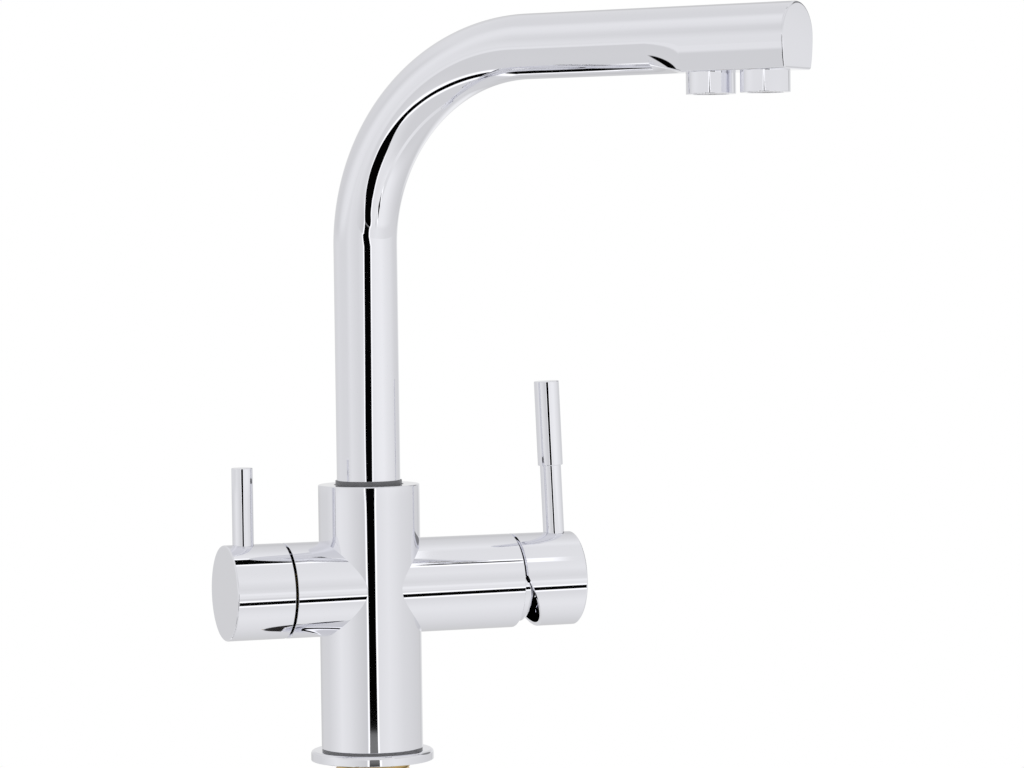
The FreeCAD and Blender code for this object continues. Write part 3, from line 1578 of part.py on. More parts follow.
def main():
    document = FreeCAD.newDocument("tap")
    build(document)
    check(document)
    os.makedirs("parts", exist_ok=True)
    for part in sub_parts(document):
        part.Shape.exportStep(os.path.join("parts", part.Label + ".step"))
        print("%-24s %2d solid  %10.1f mm3" % (part.Label, len(part.Shape.Solids), part.Shape.Volume))


main()
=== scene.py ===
"""Three way filtered water tap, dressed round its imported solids.

Lengths are written in millimetres and turned into metres by MM. The origin is the centre of the
base ring's underside. +Z is up, the mixer arm points along +X, the filter arm along -X, and -Y is
the front.
"""
import json
import math

import bpy
from mathutils import Matrix, Vector


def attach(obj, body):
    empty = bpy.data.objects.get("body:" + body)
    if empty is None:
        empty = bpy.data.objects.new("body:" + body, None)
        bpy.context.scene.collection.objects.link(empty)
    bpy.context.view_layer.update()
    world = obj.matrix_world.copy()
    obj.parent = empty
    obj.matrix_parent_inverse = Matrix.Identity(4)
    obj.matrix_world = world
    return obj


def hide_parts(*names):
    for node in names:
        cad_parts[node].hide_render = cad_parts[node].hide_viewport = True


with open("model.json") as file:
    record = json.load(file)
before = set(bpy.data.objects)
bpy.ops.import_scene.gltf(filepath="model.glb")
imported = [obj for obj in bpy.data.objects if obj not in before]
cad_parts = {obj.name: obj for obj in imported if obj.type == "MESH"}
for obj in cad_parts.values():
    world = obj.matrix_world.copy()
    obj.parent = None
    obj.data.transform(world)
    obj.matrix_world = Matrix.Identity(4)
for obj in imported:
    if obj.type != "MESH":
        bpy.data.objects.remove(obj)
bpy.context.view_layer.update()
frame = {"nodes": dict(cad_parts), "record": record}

MM = 0.001

# base and fixing under the worktop
FLANGE_RADIUS, FLANGE_HEIGHT, FLANGE_EDGE, FLANGE_LOW_EDGE = 27.25, 4.45, 1.4, 0.3
GASKET_INNER, GASKET_OUTER, GASKET_HEIGHT = 19.5, 24.5, 1.5
SHANK_RADIUS, SHANK_BORE, SHANK_BOTTOM, SHANK_TOP, SHANK_BEVEL = 16.5, 13.75, -60.0, 15.95, 1.0
THREAD_PITCH, THREAD_DEPTH, THREAD_RUN_OUT = 1.5, 0.55, 1.5
WASHER_BORE, WASHER_RADIUS = 16.65, 25.5
WORKTOP_UNDERSIDE = -30.0
# name, finish, height, and the rounds: inner and outer below, outer and inner above
WASHERS = (("rubber_washer", "rubber", 3.0, (0.4, 0.4, 0.6, 0.6)),
           ("steel_washer", "steel", 1.5, (0.15, 0.35, 0.15, 0.15)))
NUT_ACROSS, NUT_HEIGHT, NUT_BEVEL, NUT_BORE_BEVEL, NUT_TOP_BEVEL = 42.0, 9.0, 1.6, 0.6, 0.5
# column
COLUMN_RADIUS, COLUMN_TOP, COLUMN_EDGE = 22.5, 122.5, 0.5
FOOT_INSET, FOOT_HEIGHT, FOOT_EDGE = 0.8, 0.9, 0.2
SOCKET_RADIUS, SOCKET_FLOOR = 14.9, 90.0
COLLAR_RADIUS, COLLAR_SEAT, COLLAR_BEVEL = 15.4, 117.3, 0.3
HOSE_SOCKET_RADIUS, HOSE_SOCKET_DEPTH, HOSE_CIRCLE = 4.5, 12.0, 8.6
SCREW_RADIUS, SCREW_HEIGHT, SCREW_SINK, SCREW_LENGTH = 2.5, 105.5, 1.0, 6.3
SCREW_PLAY, SCREW_EDGE, SCREW_KEY, SCREW_KEY_DEPTH, SCREW_HOLE_FLOOR = 0.1, 0.35, 2.5, 2.2, 18.0
# inset and round of the dark grey ring painted into the foot groove as shade
SHADE_RING_INSET, SHADE_RING_EDGE = 0.2, 0.3
# arms, caps and levers
ARM_HEIGHT, ARM_RADIUS, ARM_EDGE, ARM_ROOT = 76.8, 21.05, 0.3, 3.0
FILTER_SEAM, MIXER_SEAM = 39.6, 66.1
FILTER_BORE, FILTER_BORE_FLOOR = 10.5, 19.0
MIXER_BORE, MIXER_BORE_FLOOR, MIXER_MOUTH, MIXER_MOUTH_FLOOR = 17.7, 40.5, 18.0, 57.5
CAP_WALL, CAP_EDGE, RIM_EDGE, SEAM_GAP = 1.65, 0.7, 0.2, 1.2
FILTER_CAP_END, FILTER_CAP_FLOOR, FILTER_BOSS = 67.1, 64.0, 54.9
MIXER_CAP_END, MIXER_CAP_FLOOR, MIXER_BOSS = 95.8, 92.3, 76.0
BOSS_RADIUS, LEVER_SEAT, LEVER_PLAY, LEVER_BEVEL = 9.0, 20.0, 0.05, 0.4
LEVER_BOSS_RADIUS = 6.5
FILTER_LEVER_PLACE, FILTER_LEVER_RADIUS, FILTER_LEVER_TOP = 58.3, 4.7, 54.8
MIXER_LEVER_PLACE, MIXER_LEVER_LEAN = 88.43, 2.25
MIXER_ROD_RADIUS, MIXER_ROD_TOP, GRIP_RADIUS, GRIP_TOP = 4.75, 51.3, 5.65, 89.4
FILTER_GRUB, MIXER_GRUB, MIXER_GRUB_PLACE = 2.0, 2.5, 82.5
RIM_CUT_START, RIM_CUT_ANGLE = 3.6, 24.0
SHROUD_RADIUS, SHROUD_FRONT, SHROUD_EDGE, SHROUD_OPENING, SHROUD_WALL = 18.5, 71.2, 2.0, 13.2, 1.6
SHROUD_SKIRT, SHROUD_FOOT, SHROUD_RIM_EDGE = 17.95, 65.5, 0.2
# spout
SPOUT_TURN = 51.5
TUBE_RADIUS, TUBE_WALL, TUBE_FOOT = 14.1, 1.6, 113.0
SPOUT_HEIGHT, BEND_RADIUS, SPOUT_REACH = 312.9, 85.0, 214.7
TUBE_RISE = SPOUT_HEIGHT - BEND_RADIUS - TUBE_FOOT
BEND_LENGTH = BEND_RADIUS * math.pi / 2.0
HEAD_ROUND_END, HEAD_FLAT_START = 150.0, 166.0
HEAD_SIDE_RADIUS, HEAD_CORNER, HEAD_END_EDGE, HEAD_SPLIT = 48.0, 1.2, 1.0, 53.0
HEAD_STEPS = (20, 8, 24, 8, 20, 64)
OUTLET_PLACES = (("rear", 173.8), ("front", 199.3))
OUTLET_RADIUS, OUTLET_DROP, OUTLET_EDGE = 10.5, 9.2, 0.4
OUTLET_BORE, OUTLET_LIP, OUTLET_LIP_EDGE = 8.4, 0.7, 0.15

# photograph's camera
CAMERA_TURN, CAMERA_RISE, CAMERA_ROLL = -20.42, 2.21, -0.738
CAMERA_DISTANCE, TARGET_HEIGHT, TARGET_RIGHT = 1666.2, 166.06, 64.11
FOCAL_PIXELS, PICTURE_WIDTH, SENSOR_WIDTH = 3760.3, 1024.0, 36.0

FINE, PLAIN, SMALL = 160, 96, 48        # steps round a large, a plain and a small turned piece
RISE_STEPS, BEND_STEPS, RUN_STEPS, LOFT_STEPS, EDGE_STEPS = 12, 150, 10, 12, 6
OVER = 1.0                              # how far a cutting piece reaches past the metal
ON_SURFACE, SAME_WAY, END_SLACK = 0.012, 0.97, 0.02     # how near a corner is to a true surface
UP = Vector((0.0, 0.0, 1.0))


# ---- outlines ------------------------------------------------------------------------------------

def unit(x, y):
    size = math.hypot(x, y)
    return (x / size, y / size)


def outline(corners, arc_steps=6):
    """Runs of (point, normal) along a closed outline of (x, y) or (x, y, round) corners.

    The corners go counter-clockwise, so the normals point out of the solid.
    """
    count = len(corners)
    spots = [(corner[0], corner[1]) for corner in corners]
    rounds = [corner[2] if len(corner) > 2 else 0.0 for corner in corners]
    starts, ends, arcs = [], [], []
    for index, (x, y) in enumerate(spots):
        back = unit(spots[index - 1][0] - x, spots[index - 1][1] - y)
        ahead_spot = spots[(index + 1) % count]
        ahead = unit(ahead_spot[0] - x, ahead_spot[1] - y)
        size = rounds[index]
        if size == 0.0:
            starts.append((x, y))
            ends.append((x, y))
            arcs.append(None)
            continue
        half = math.acos(back[0] * ahead[0] + back[1] * ahead[1]) / 2.0
        cut = size / math.tan(half)
        first = (x + back[0] * cut, y + back[1] * cut)
        last = (x + ahead[0] * cut, y + ahead[1] * cut)
        middle = unit(back[0] + ahead[0], back[1] + ahead[1])
        reach = size / math.sin(half)
        centre = (x + middle[0] * reach, y + middle[1] * reach)
        convex = back[0] * ahead[1] - back[1] * ahead[0] < 0.0
        starts.append(first)
        ends.append(last)
        arcs.append(arc_run(first, last, centre, 1.0 if convex else -1.0, arc_steps))
    runs = []
    for index in range(count):
        if arcs[index]:
            runs.append(arcs[index])
        first, last = ends[index], starts[(index + 1) % count]
        if math.dist(first, last) > 1e-6:
            x, y = unit(last[0] - first[0], last[1] - first[1])
            runs.append([(first, (y, -x)), (last, (y, -x))])
    return runs


def arc_run(first, last, centre, side, steps):
    """Points and normals of the short arc between two points; side is -1 for a hollow arc."""
    radius = math.dist(first, centre)
    start = math.atan2(first[1] - centre[1], first[0] - centre[0])
    sweep = math.atan2(last[1] - centre[1], last[0] - centre[0]) - start
    sweep = (sweep + math.pi) % (2.0 * math.pi) - math.pi
    run = []
    for step in range(steps + 1):
        angle = start + sweep * step / steps
        along = (math.cos(angle), math.sin(angle))
        spot = (centre[0] + radius * along[0], centre[1] + radius * along[1])
        run.append((spot, (side * along[0], side * along[1])))
    return run


# ---- skins ---------------------------------------------------------------------------------------

class Skin:
    """Faces with their own exact corner normals, so that polished metal mirrors without ripples."""

    def __init__(self):
        self.spots, self.known, self.faces, self.normals = [], {}, [], []

    def spot(self, point):
        key = (round(point[0], 4), round(point[1], 4), round(point[2], 4))
        if key not in self.known:
            self.known[key] = len(self.spots)
            self.spots.append(point)
        return self.known[key]

    def face(self, corners):
        """Add a face of (point, normal) corners; corners that fall together are dropped."""
        ring, normals = [], []
        for point, normal in corners:
            index = self.spot(point)
            if index not in ring:
                ring.append(index)
                normals.append(normal)
        if len(ring) < 3:
            return
        self.faces.append(ring)
        self.normals.extend(normals)

    def grid(self, rows, flip=False):
        """Faces between rows of (point, normal); the rows run along the surface."""
        for near, far in zip(rows, rows[1:]):
            for step in range(len(near) - 1):
                corners = [near[step], near[step + 1], far[step + 1], far[step]]
                self.face(corners[::-1] if flip else corners)

    def turn(self, runs, place, steps=PLAIN):
        """Turn outline runs of (radius, height) about the place's own Z axis."""
        turns = [2.0 * math.pi * step / steps for step in range(steps)] + [0.0]
        spins = [(math.cos(angle), math.sin(angle)) for angle in turns]
        swing = place.to_3x3()
        for run in runs:
            if all(point[0] < 1e-6 for point, _ in run):
                continue
            rows = []
            for (radius, height), (out, up) in run:
                rows.append([(place @ Vector((radius * c, radius * s, height)),
                              swing @ Vector((out * c, out * s, up))) for c, s in spins])
            self.grid(rows)

    def made(self, name):
        mesh = bpy.data.meshes.new(name)
        mesh.from_pydata([[step * MM for step in spot] for spot in self.spots], [], self.faces)
        mesh.shade_smooth()
        mesh.normals_split_custom_set([normal[:] for normal in self.normals])
        piece = bpy.data.objects.new(name, mesh)
        bpy.context.scene.collection.objects.link(piece)
        return piece


def axis_place(spot, towards):
    """Matrix that puts a turned piece's own Z axis at a spot, pointing towards a direction."""
    turn = Vector(towards).to_track_quat("Z", "Y").to_matrix().to_4x4()
    return Matrix.Translation(Vector(spot)) @ turn


UPRIGHT = Matrix.Identity(4)
FILTER_ARM = axis_place((0.0, 0.0, ARM_HEIGHT), (-1.0, 0.0, 0.0))
MIXER_ARM = axis_place((0.0, 0.0, ARM_HEIGHT), (1.0, 0.0, 0.0))
SCREW_AXIS = axis_place((0.0, 0.0, SCREW_HEIGHT), (0.0, 1.0, 0.0))
LEAN = math.radians(MIXER_LEVER_LEAN)
FILTER_LEVER = axis_place((-FILTER_LEVER_PLACE, 0.0, ARM_HEIGHT), UP)
MIXER_LEVER = axis_place((MIXER_LEVER_PLACE, 0.0, ARM_HEIGHT),
                         (-math.sin(LEAN), 0.0, math.cos(LEAN)))
SPOUT_WAY = Vector((math.cos(math.radians(SPOUT_TURN)), -math.sin(math.radians(SPOUT_TURN)), 0.0))
SPOUT_SIDE = UP.cross(SPOUT_WAY)


class Turned:
    """A turned solid that may be joined to or cut from others, and still knows its true surface."""

    def __init__(self, corners, place, steps=PLAIN, arc_steps=6):
        self.runs = outline(corners, arc_steps)
        self.place = place
        self.steps = steps
        self.back = place.inverted()
        self.swing = place.to_3x3()

    def skin(self, name):
        skin = Skin()
        skin.turn(self.runs, self.place, self.steps)
        return skin.made(name)

    def true_normal(self, point, hint):
        """The surface's own normal at a point, or None where the point isn't on this surface."""
        local = self.back @ point
        radius = math.hypot(local.x, local.y)
        leaning = self.swing.transposed() @ hint
        if radius < 1e-6:
            return None
        c, s = local.x / radius, local.y / radius
        for run in self.runs:
            for (first, first_normal), (last, last_normal) in zip(run, run[1:]):
                along = (last[0] - first[0], last[1] - first[1])
                size = along[0] * along[0] + along[1] * along[1]
                share = ((radius - first[0]) * along[0] + (local.z - first[1]) * along[1]) / size
                if not -END_SLACK <= share <= 1.0 + END_SLACK:
                    continue
                off = math.hypot(first[0] + share * along[0] - radius,
                                 first[1] + share * along[1] - local.z)
                if off > ON_SURFACE:
                    continue
                out = first_normal[0] + share * (last_normal[0] - first_normal[0])
                up = first_normal[1] + share * (last_normal[1] - first_normal[1])
                normal = Vector((out * c, out * s, up)).normalized()
                facing = normal.dot(leaning)
                if abs(facing) > SAME_WAY:
                    return self.swing @ (normal if facing > 0.0 else -normal)
        return None


def shaped(name, solid, joined=(), cut=(), prisms=()):
    """One piece from a turned solid with others joined to it and cut from it, mirror-true."""
    piece = solid.skin(name)
    helpers = [(other.skin(name + "_helper"), "UNION") for other in joined]
    helpers += [(other.skin(name + "_helper"), "DIFFERENCE") for other in cut]
    helpers += [(prism, "DIFFERENCE") for prism in prisms]
    for helper, operation in helpers:
        change = piece.modifiers.new(operation.lower(), "BOOLEAN")
        change.operation = operation
        change.object = helper
        change.solver = "EXACT"
    shape = piece.evaluated_get(bpy.context.evaluated_depsgraph_get())
    mesh = bpy.data.meshes.new_from_object(shape)
    piece.modifiers.clear()
    piece.data = mesh
    for helper, _ in helpers:
        bpy.data.objects.remove(helper)
    surfaces = [solid, *joined, *cut]
    normals = []
    for face in mesh.polygons:
        flat = face.normal.copy()
        for index in face.vertices:
            point = mesh.vertices[index].co / MM
            found = (surface.true_normal(point, flat) for surface in surfaces)
            normals.append(next((true for true in found if true is not None), flat)[:])
    mesh.shade_smooth()
    mesh.normals_split_custom_set(normals)
    return piece


def straight_solid(name, near, far):
    """A solid between two matching rings of points, for cutting."""
    skin = Skin()
    skin.face([(point, UP) for point in near])
    skin.face([(point, UP) for point in reversed(far)])
    for index in range(len(near)):
        side = (near[index - 1], far[index - 1], far[index], near[index])
        skin.face([(point, UP) for point in side])
    piece = skin.made(name)
    piece.data.update()
    return piece


def prism(name, corners, across, place):
    """A straight bar for cutting: corners in the place's X and Z, and its half width across."""
    return straight_solid(name, [place @ Vector((x, -across, z)) for x, z in corners],
                          [place @ Vector((x, across, z)) for x, z in corners])


def ring_points(radius, steps, height):
    """Points evenly round the Z axis."""
    angles = [2.0 * math.pi * step / steps for step in range(steps)]
    return [Vector((radius * math.cos(angle), radius * math.sin(angle), height))
            for angle in angles]


# ---- finishes ------------------------------------------------------------------------------------

class Nodes:
    """Short writing for a node tree."""

    def __init__(self, tree):
        self.tree = tree

    def add(self, kind, inputs=(), **settings):
        node = self.tree.nodes.new(kind)
        for name, value in settings.items():
            setattr(node, name, value)
        for name, value in dict(inputs).items():
            if isinstance(value, bpy.types.NodeSocket):
                self.tree.links.new(value, node.inputs[name])
            else:
                node.inputs[name].default_value = value
        return node

    def link(self, output, target):
        self.tree.links.new(output, target)

    def sum(self, operation, first, second=0.0):
        """A Math node's result."""
        return self.add("ShaderNodeMath", {0: first, 1: second}, operation=operation).outputs[0]

    def between(self, value, low, high):
        """0 below low and 1 above high, with a smooth step."""
        node = self.add("ShaderNodeMapRange", interpolation_type="SMOOTHSTEP")
        self.link(value, node.inputs["Value"])
        node.inputs["From Min"].default_value = low
        node.inputs["From Max"].default_value = high
        return node.outputs["Result"]

    def ramp(self, value, stops):
        """A colour ramp of (place, level) stops; a level is one number, or three."""
        node = self.add("ShaderNodeValToRGB", {"Fac": value})
        points = node.color_ramp.elements
        while len(points) < len(stops):
            points.new(0.5)
        for point, (spot, level) in zip(points, stops):
            point.position = spot
            point.color = (*level, 1.0) if isinstance(level, tuple) else (level, level, level, 1.0)
        return node.outputs["Color"]

    def least(self, first, second):
        return self.sum("MINIMUM", first, second)

    def inside(self, value, low, high, scale=1.0):
        """How far a value lies between two bounds, over a scale; below 0 outside them."""
        depth = self.least(self.sum("SUBTRACT", value, low), self.sum("SUBTRACT", high, value))
        return self.sum("DIVIDE", depth, scale)

    def dot(self, first, second):
        node = self.add("ShaderNodeVectorMath", {0: first, 1: second}, operation="DOT_PRODUCT")
        return node.outputs["Value"]

    def facing(self, way, towards, outer, inner):
        """0 further than outer degrees from a direction and 1 nearer than inner."""
        limits = [math.cos(math.radians(angle)) for angle in (outer, inner)]
        return self.between(self.dot(way, Vector(towards)), *limits)

    def blend(self, share, first, second):
        """The first colour where share is 0 and the second where it is 1."""
        node = self.add("ShaderNodeMix", data_type="RGBA")
        self.link(share, node.inputs["Factor"])
        for value, target in ((first, node.inputs[6]), (second, node.inputs[7])):
            if isinstance(value, bpy.types.NodeSocket):
                self.link(value, target)
            else:
                target.default_value = (value, value, value, 1.0)
        return node.outputs[2]


def new_group(name, inputs, outputs):
    """A shader node group; inputs are (name, kind, value) and outputs are (name, kind)."""
    tree = bpy.data.node_groups.new(name, "ShaderNodeTree")
    for label, kind, value in inputs:
        socket = tree.interface.new_socket(label, in_out="INPUT", socket_type="NodeSocket" + kind)
        socket.default_value = value
    for label, kind in outputs:
        tree.interface.new_socket(label, in_out="OUTPUT", socket_type="NodeSocket" + kind)
    nodes = Nodes(tree)
    start = nodes.add("NodeGroupInput").outputs
    end = nodes.add("NodeGroupOutput").inputs
    return tree, nodes, start, end


def smudge_group():
    """Faint wiping marks: roughness that changes in soft patches and fine streaks."""
    tree, nodes, start, end = new_group(
        "wiping_marks",
        [("Roughness", "Float", 0.05), ("Change", "Float", 0.02), ("Size", "Float", 30.0)],
        [("Roughness", "Float")])
    place = nodes.add("ShaderNodeTexCoord").outputs["Object"]
    patches = nodes.add("ShaderNodeTexNoise",
                        {"Vector": place, "Scale": start["Size"], "Detail": 3.0})
    streaks = nodes.add("ShaderNodeTexNoise", {"Vector": place, "Scale": 400.0, "Detail": 2.0})
    soft = nodes.between(patches.outputs["Fac"], 0.42, 0.72)
    both = nodes.sum("MULTIPLY", soft, streaks.outputs["Fac"])
    change = nodes.sum("MULTIPLY", both, start["Change"])
    nodes.link(nodes.sum("ADD", start["Roughness"], change), end["Roughness"])
    return tree


def grain_group():
    """Fine random grain: a colour shift and a height for moulded and turned surfaces."""
    tree, nodes, start, end = new_group(
        "fine_grain",
        [("Color", "Color", (0.5, 0.5, 0.5, 1.0)), ("Shift", "Float", 0.1),
         ("Scale", "Float", 900.0)],
        [("Color", "Color"), ("Height", "Float")])
    place = nodes.add("ShaderNodeTexCoord").outputs["Object"]
    noise = nodes.add("ShaderNodeTexNoise",
                      {"Vector": place, "Scale": start["Scale"], "Detail": 4.0})
    level = nodes.sum("SUBTRACT", noise.outputs["Fac"], 0.5)
    level = nodes.sum("MULTIPLY_ADD", level, start["Shift"])
    level.node.inputs[2].default_value = 1.0
    tint = nodes.add("ShaderNodeVectorMath", {0: start["Color"], 1: level}, operation="MULTIPLY")
    nodes.link(tint.outputs["Vector"], end["Color"])
    nodes.link(noise.outputs["Fac"], end["Height"])
    return tree


WIPING_MARKS = smudge_group()
FINE_GRAIN = grain_group()


def new_material(name):
    material = bpy.data.materials.new(name)
    material.use_nodes = True
    nodes = Nodes(material.node_tree)
    return material, nodes, material.node_tree.nodes["Principled BSDF"]


def polished_metal(name, color, roughness, change):
    material, nodes, surface = new_material(name)
    surface.inputs["Base Color"].default_value = (*color, 1.0)
    surface.inputs["Metallic"].default_value = 1.0
    marks = nodes.add("ShaderNodeGroup", node_tree=WIPING_MARKS)
    marks.inputs["Roughness"].default_value = roughness
    marks.inputs["Change"].default_value = change
    nodes.link(marks.outputs["Roughness"], surface.inputs["Roughness"])
    return material


def grained(name, color, roughness, shift, scale, relief, metallic=0.0):
    """A matt or satin material with grain: cast and turned metal, rubber, plastic or ceramic."""
    material, nodes, surface = new_material(name)
    surface.inputs["Metallic"].default_value = metallic
    surface.inputs["Roughness"].default_value = roughness
    grain = nodes.add("ShaderNodeGroup", node_tree=FINE_GRAIN)
    grain.inputs["Color"].default_value = (*color, 1.0)
    grain.inputs["Shift"].default_value = shift
    grain.inputs["Scale"].default_value = scale
    nodes.link(grain.outputs["Color"], surface.inputs["Base Color"])
    bump = nodes.add("ShaderNodeBump", {"Height": grain.outputs["Height"], "Strength": relief})
    bump.inputs["Distance"].default_value = 0.0001
    nodes.link(bump.outputs["Normal"], surface.inputs["Normal"])
    return material


FINISHES = {
    "chrome": polished_metal("mirror_chrome", (0.875, 0.878, 0.922), 0.02, 0.03),
    "brass": grained("turned_brass", (0.72, 0.52, 0.22), 0.28, 0.15, 1500.0, 0.2, metallic=1.0),
    "steel": grained("plain_steel", (0.56, 0.57, 0.58), 0.3, 0.2, 1200.0, 0.25, metallic=1.0),
    "rubber": grained("black_rubber", (0.025, 0.025, 0.027), 0.62, 0.3, 2500.0, 0.5),
    "black_plastic": grained("black_acetal", (0.03, 0.03, 0.032), 0.38, 0.15, 1800.0, 0.2),
    "white_plastic": grained("white_acetal", (0.78, 0.77, 0.74), 0.4, 0.04, 1800.0, 0.15),
    "ceramic": grained("grey_ceramic", (0.62, 0.6, 0.56), 0.22, 0.06, 3000.0, 0.1),
}
# grey acetal of the upper glide ring, also used as the painted shade colour of the column's foot
# ring
GREY_ACETAL_AND_FOOT_SHADE = grained("grey_acetal_and_foot_shade", (0.17, 0.17, 0.18), 0.35, 0.15, 1800.0, 0.2)


def dress(piece, body, finish, *nodes):
    """Give a piece its finish, let it ride on its body and stand for its solids."""
    piece.data.materials.clear()
    piece.data.materials.append(FINISHES[finish])
    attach(piece, body)
    if nodes:
        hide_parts(*nodes)
    return piece


def turned_piece(name, corners, place, body, finish, nodes, steps=PLAIN):
    return dress(Turned(corners, place, steps).skin(name), body, finish, *nodes)


def rod(radius, low, high, low_round=0.0, top_round=0.0):
    """Corners of a solid round rod."""
    return [(0.0, low), (radius, low, low_round), (radius, high, top_round), (0.0, high)]


def round_bar(radius, low, high, place, steps):
    """A plain round solid along the place's own Z axis, to join or to cut with."""
    return Turned(rod(radius, low, high), place, steps)


# ---- base and fixing -----------------------------------------------------------------------------

def base_ring():
    turned_piece("base_ring", [
        (WASHER_BORE, 0.0),
        (GASKET_INNER, 0.0),
        (GASKET_INNER, GASKET_HEIGHT),
        (GASKET_OUTER, GASKET_HEIGHT),
        (GASKET_OUTER, 0.0),
        (FLANGE_RADIUS, 0.0, FLANGE_LOW_EDGE),
        (FLANGE_RADIUS, FLANGE_HEIGHT, FLANGE_EDGE),
        (WASHER_BORE, FLANGE_HEIGHT),
    ], UPRIGHT, "root", "chrome", ["base_flange"], FINE)


def thread_rows(bottom, top, radius, depth, run_out, steps, level_steps=6):
    """Rows of a screw thread between two heights, fading out at both ends."""
    rows = []
    count = int(round((top - bottom) / THREAD_PITCH * level_steps))
    for row in range(count + 1):
        height = bottom + (top - bottom) * row / count
        fade = min(1.0, (height - bottom) / run_out, (top - height) / run_out)
        line = []
        for step in range(steps + 1):
            share = step / steps
            phase = (height / THREAD_PITCH - share) % 1.0
            sink = depth * (1.0 - abs(2.0 * phase - 1.0)) * max(fade, 0.0)
            angle = 2.0 * math.pi * (share % 1.0)
            out = radius - sink
            line.append(Vector((out * math.cos(angle), out * math.sin(angle), height)))
        rows.append(line)
    return rows


def with_normals(rows):
    """Normals of a closed round of rows from their own neighbours."""
    made = []
    last = len(rows) - 1
    for index, row in enumerate(rows):
        above, below = rows[min(index + 1, last)], rows[max(index - 1, 0)]
        line = []
        around = len(row) - 1
        for step, point in enumerate(row):
            ahead = row[(step + 1) % around]
            back = row[(step - 1) % around]
            normal = (ahead - back).cross(above[step] - below[step]).normalized()
            line.append((point, normal))
        made.append(line)
    return made


def shank():
    """Hollow threaded shank, with its screw thread cut in."""
    skin = Skin()
    low, high = SHANK_BOTTOM + SHANK_BEVEL, SHANK_TOP
    rows = thread_rows(low, high, SHANK_RADIUS, THREAD_DEPTH, THREAD_RUN_OUT, PLAIN)
    skin.grid(with_normals(rows))
    ends = outline([
        (SHANK_BORE, SHANK_BOTTOM),
        (SHANK_RADIUS - SHANK_BEVEL, SHANK_BOTTOM),
        (SHANK_RADIUS, low),
        (SHANK_RADIUS, high),
        (SHANK_BORE, high),
    ])
    skin.turn([ends[0], ends[1], ends[3], ends[4]], UPRIGHT, PLAIN)
    dress(skin.made("shank"), "root", "brass", "threaded_shank")


def washers():
    """The washers under the worktop, from the top down; gives the height where the nut starts."""
    top = WORKTOP_UNDERSIDE
    for name, finish, height, rounds in WASHERS:
        low = top - height
        corners = ((WASHER_BORE, low), (WASHER_RADIUS, low),
                   (WASHER_RADIUS, top), (WASHER_BORE, top))
        turned_piece(name, [(*corner, size) for corner, size in zip(corners, rounds)],
                     UPRIGHT, "root", finish, ["deck_" + name])
        top = low
    return top


def nut(top):
    """Hexagon nut with turned corners."""
    low = top - NUT_HEIGHT
    corner, flat = NUT_ACROSS / math.sqrt(3.0), NUT_ACROSS / 2.0
    reach = corner + 2.0 * OVER
    blank = Turned([
        (SHANK_RADIUS, low + NUT_BORE_BEVEL),
        (SHANK_RADIUS + NUT_BORE_BEVEL, low),
        (corner - NUT_BEVEL, low),
        (corner, low + NUT_BEVEL),
        (corner, top - NUT_TOP_BEVEL),
        (corner - NUT_TOP_BEVEL, top),
        (SHANK_RADIUS, top),
    ], UPRIGHT)
    sides = []
    for step in range(6):
        spin = Matrix.Rotation(math.radians(60.0 * step + 30.0), 4, "Z")
        sides.append(prism("nut_side", [(flat, low - OVER), (reach, low - OVER),
                                        (reach, top + OVER), (flat, top + OVER)], reach, spin))
    piece = shaped("nut", blank, prisms=sides)
    dress(piece, "root", "brass", "fixing_nut")


# ---- column --------------------------------------------------------------------------------------

def column():
    """Column and both arms in one casting, with the bores that can be seen into."""
    upright = Turned([
        (0.0, FLANGE_HEIGHT),
        (COLUMN_RADIUS - FOOT_INSET, FLANGE_HEIGHT),
        (COLUMN_RADIUS - FOOT_INSET, FLANGE_HEIGHT + FOOT_HEIGHT),
        (COLUMN_RADIUS, FLANGE_HEIGHT + FOOT_HEIGHT, FOOT_EDGE),
        (COLUMN_RADIUS, COLUMN_TOP, COLUMN_EDGE),
        (0.0, COLUMN_TOP),
    ], UPRIGHT, FINE)
    arms = []
    for place, seam in ((FILTER_ARM, FILTER_SEAM), (MIXER_ARM, MIXER_SEAM)):
        arms.append(Turned([(0.0, ARM_ROOT), (ARM_RADIUS, ARM_ROOT), (ARM_RADIUS, seam, ARM_EDGE),
                            (0.0, seam)], place, FINE))
    bores = [
        Turned([(0.0, SOCKET_FLOOR), (SOCKET_RADIUS, SOCKET_FLOOR), (SOCKET_RADIUS, COLLAR_SEAT),
                (COLLAR_RADIUS, COLLAR_SEAT), (COLLAR_RADIUS, COLUMN_TOP - COLLAR_BEVEL),
                (COLLAR_RADIUS + COLLAR_BEVEL + OVER, COLUMN_TOP + OVER), (0.0, COLUMN_TOP + OVER)],
               UPRIGHT, FINE),
        round_bar(FILTER_BORE, FILTER_BORE_FLOOR, FILTER_SEAM + OVER, FILTER_ARM, PLAIN),
        Turned([(0.0, MIXER_BORE_FLOOR), (MIXER_BORE, MIXER_BORE_FLOOR),
                (MIXER_BORE, MIXER_MOUTH_FLOOR), (MIXER_MOUTH, MIXER_MOUTH_FLOOR),
                (MIXER_MOUTH, MIXER_SEAM + OVER), (0.0, MIXER_SEAM + OVER)], MIXER_ARM, FINE),
        round_bar(SHANK_RADIUS, FLANGE_HEIGHT - OVER, SHANK_TOP, UPRIGHT, PLAIN),
        round_bar(SCREW_RADIUS, SCREW_HOLE_FLOOR, COLUMN_RADIUS + OVER, SCREW_AXIS, SMALL),
    ]
    half, side = HOSE_CIRCLE * 0.5, HOSE_CIRCLE * math.sqrt(0.75)
    for x, y in ((half, -side), (half, side), (-HOSE_CIRCLE, 0.0)):
        bores.append(round_bar(HOSE_SOCKET_RADIUS, SHANK_TOP - OVER, SHANK_TOP + HOSE_SOCKET_DEPTH,
                               axis_place((x, y, 0.0), UP), SMALL))
    dress(shaped("column", upright, joined=arms, cut=bores), "root", "chrome", "column_body")


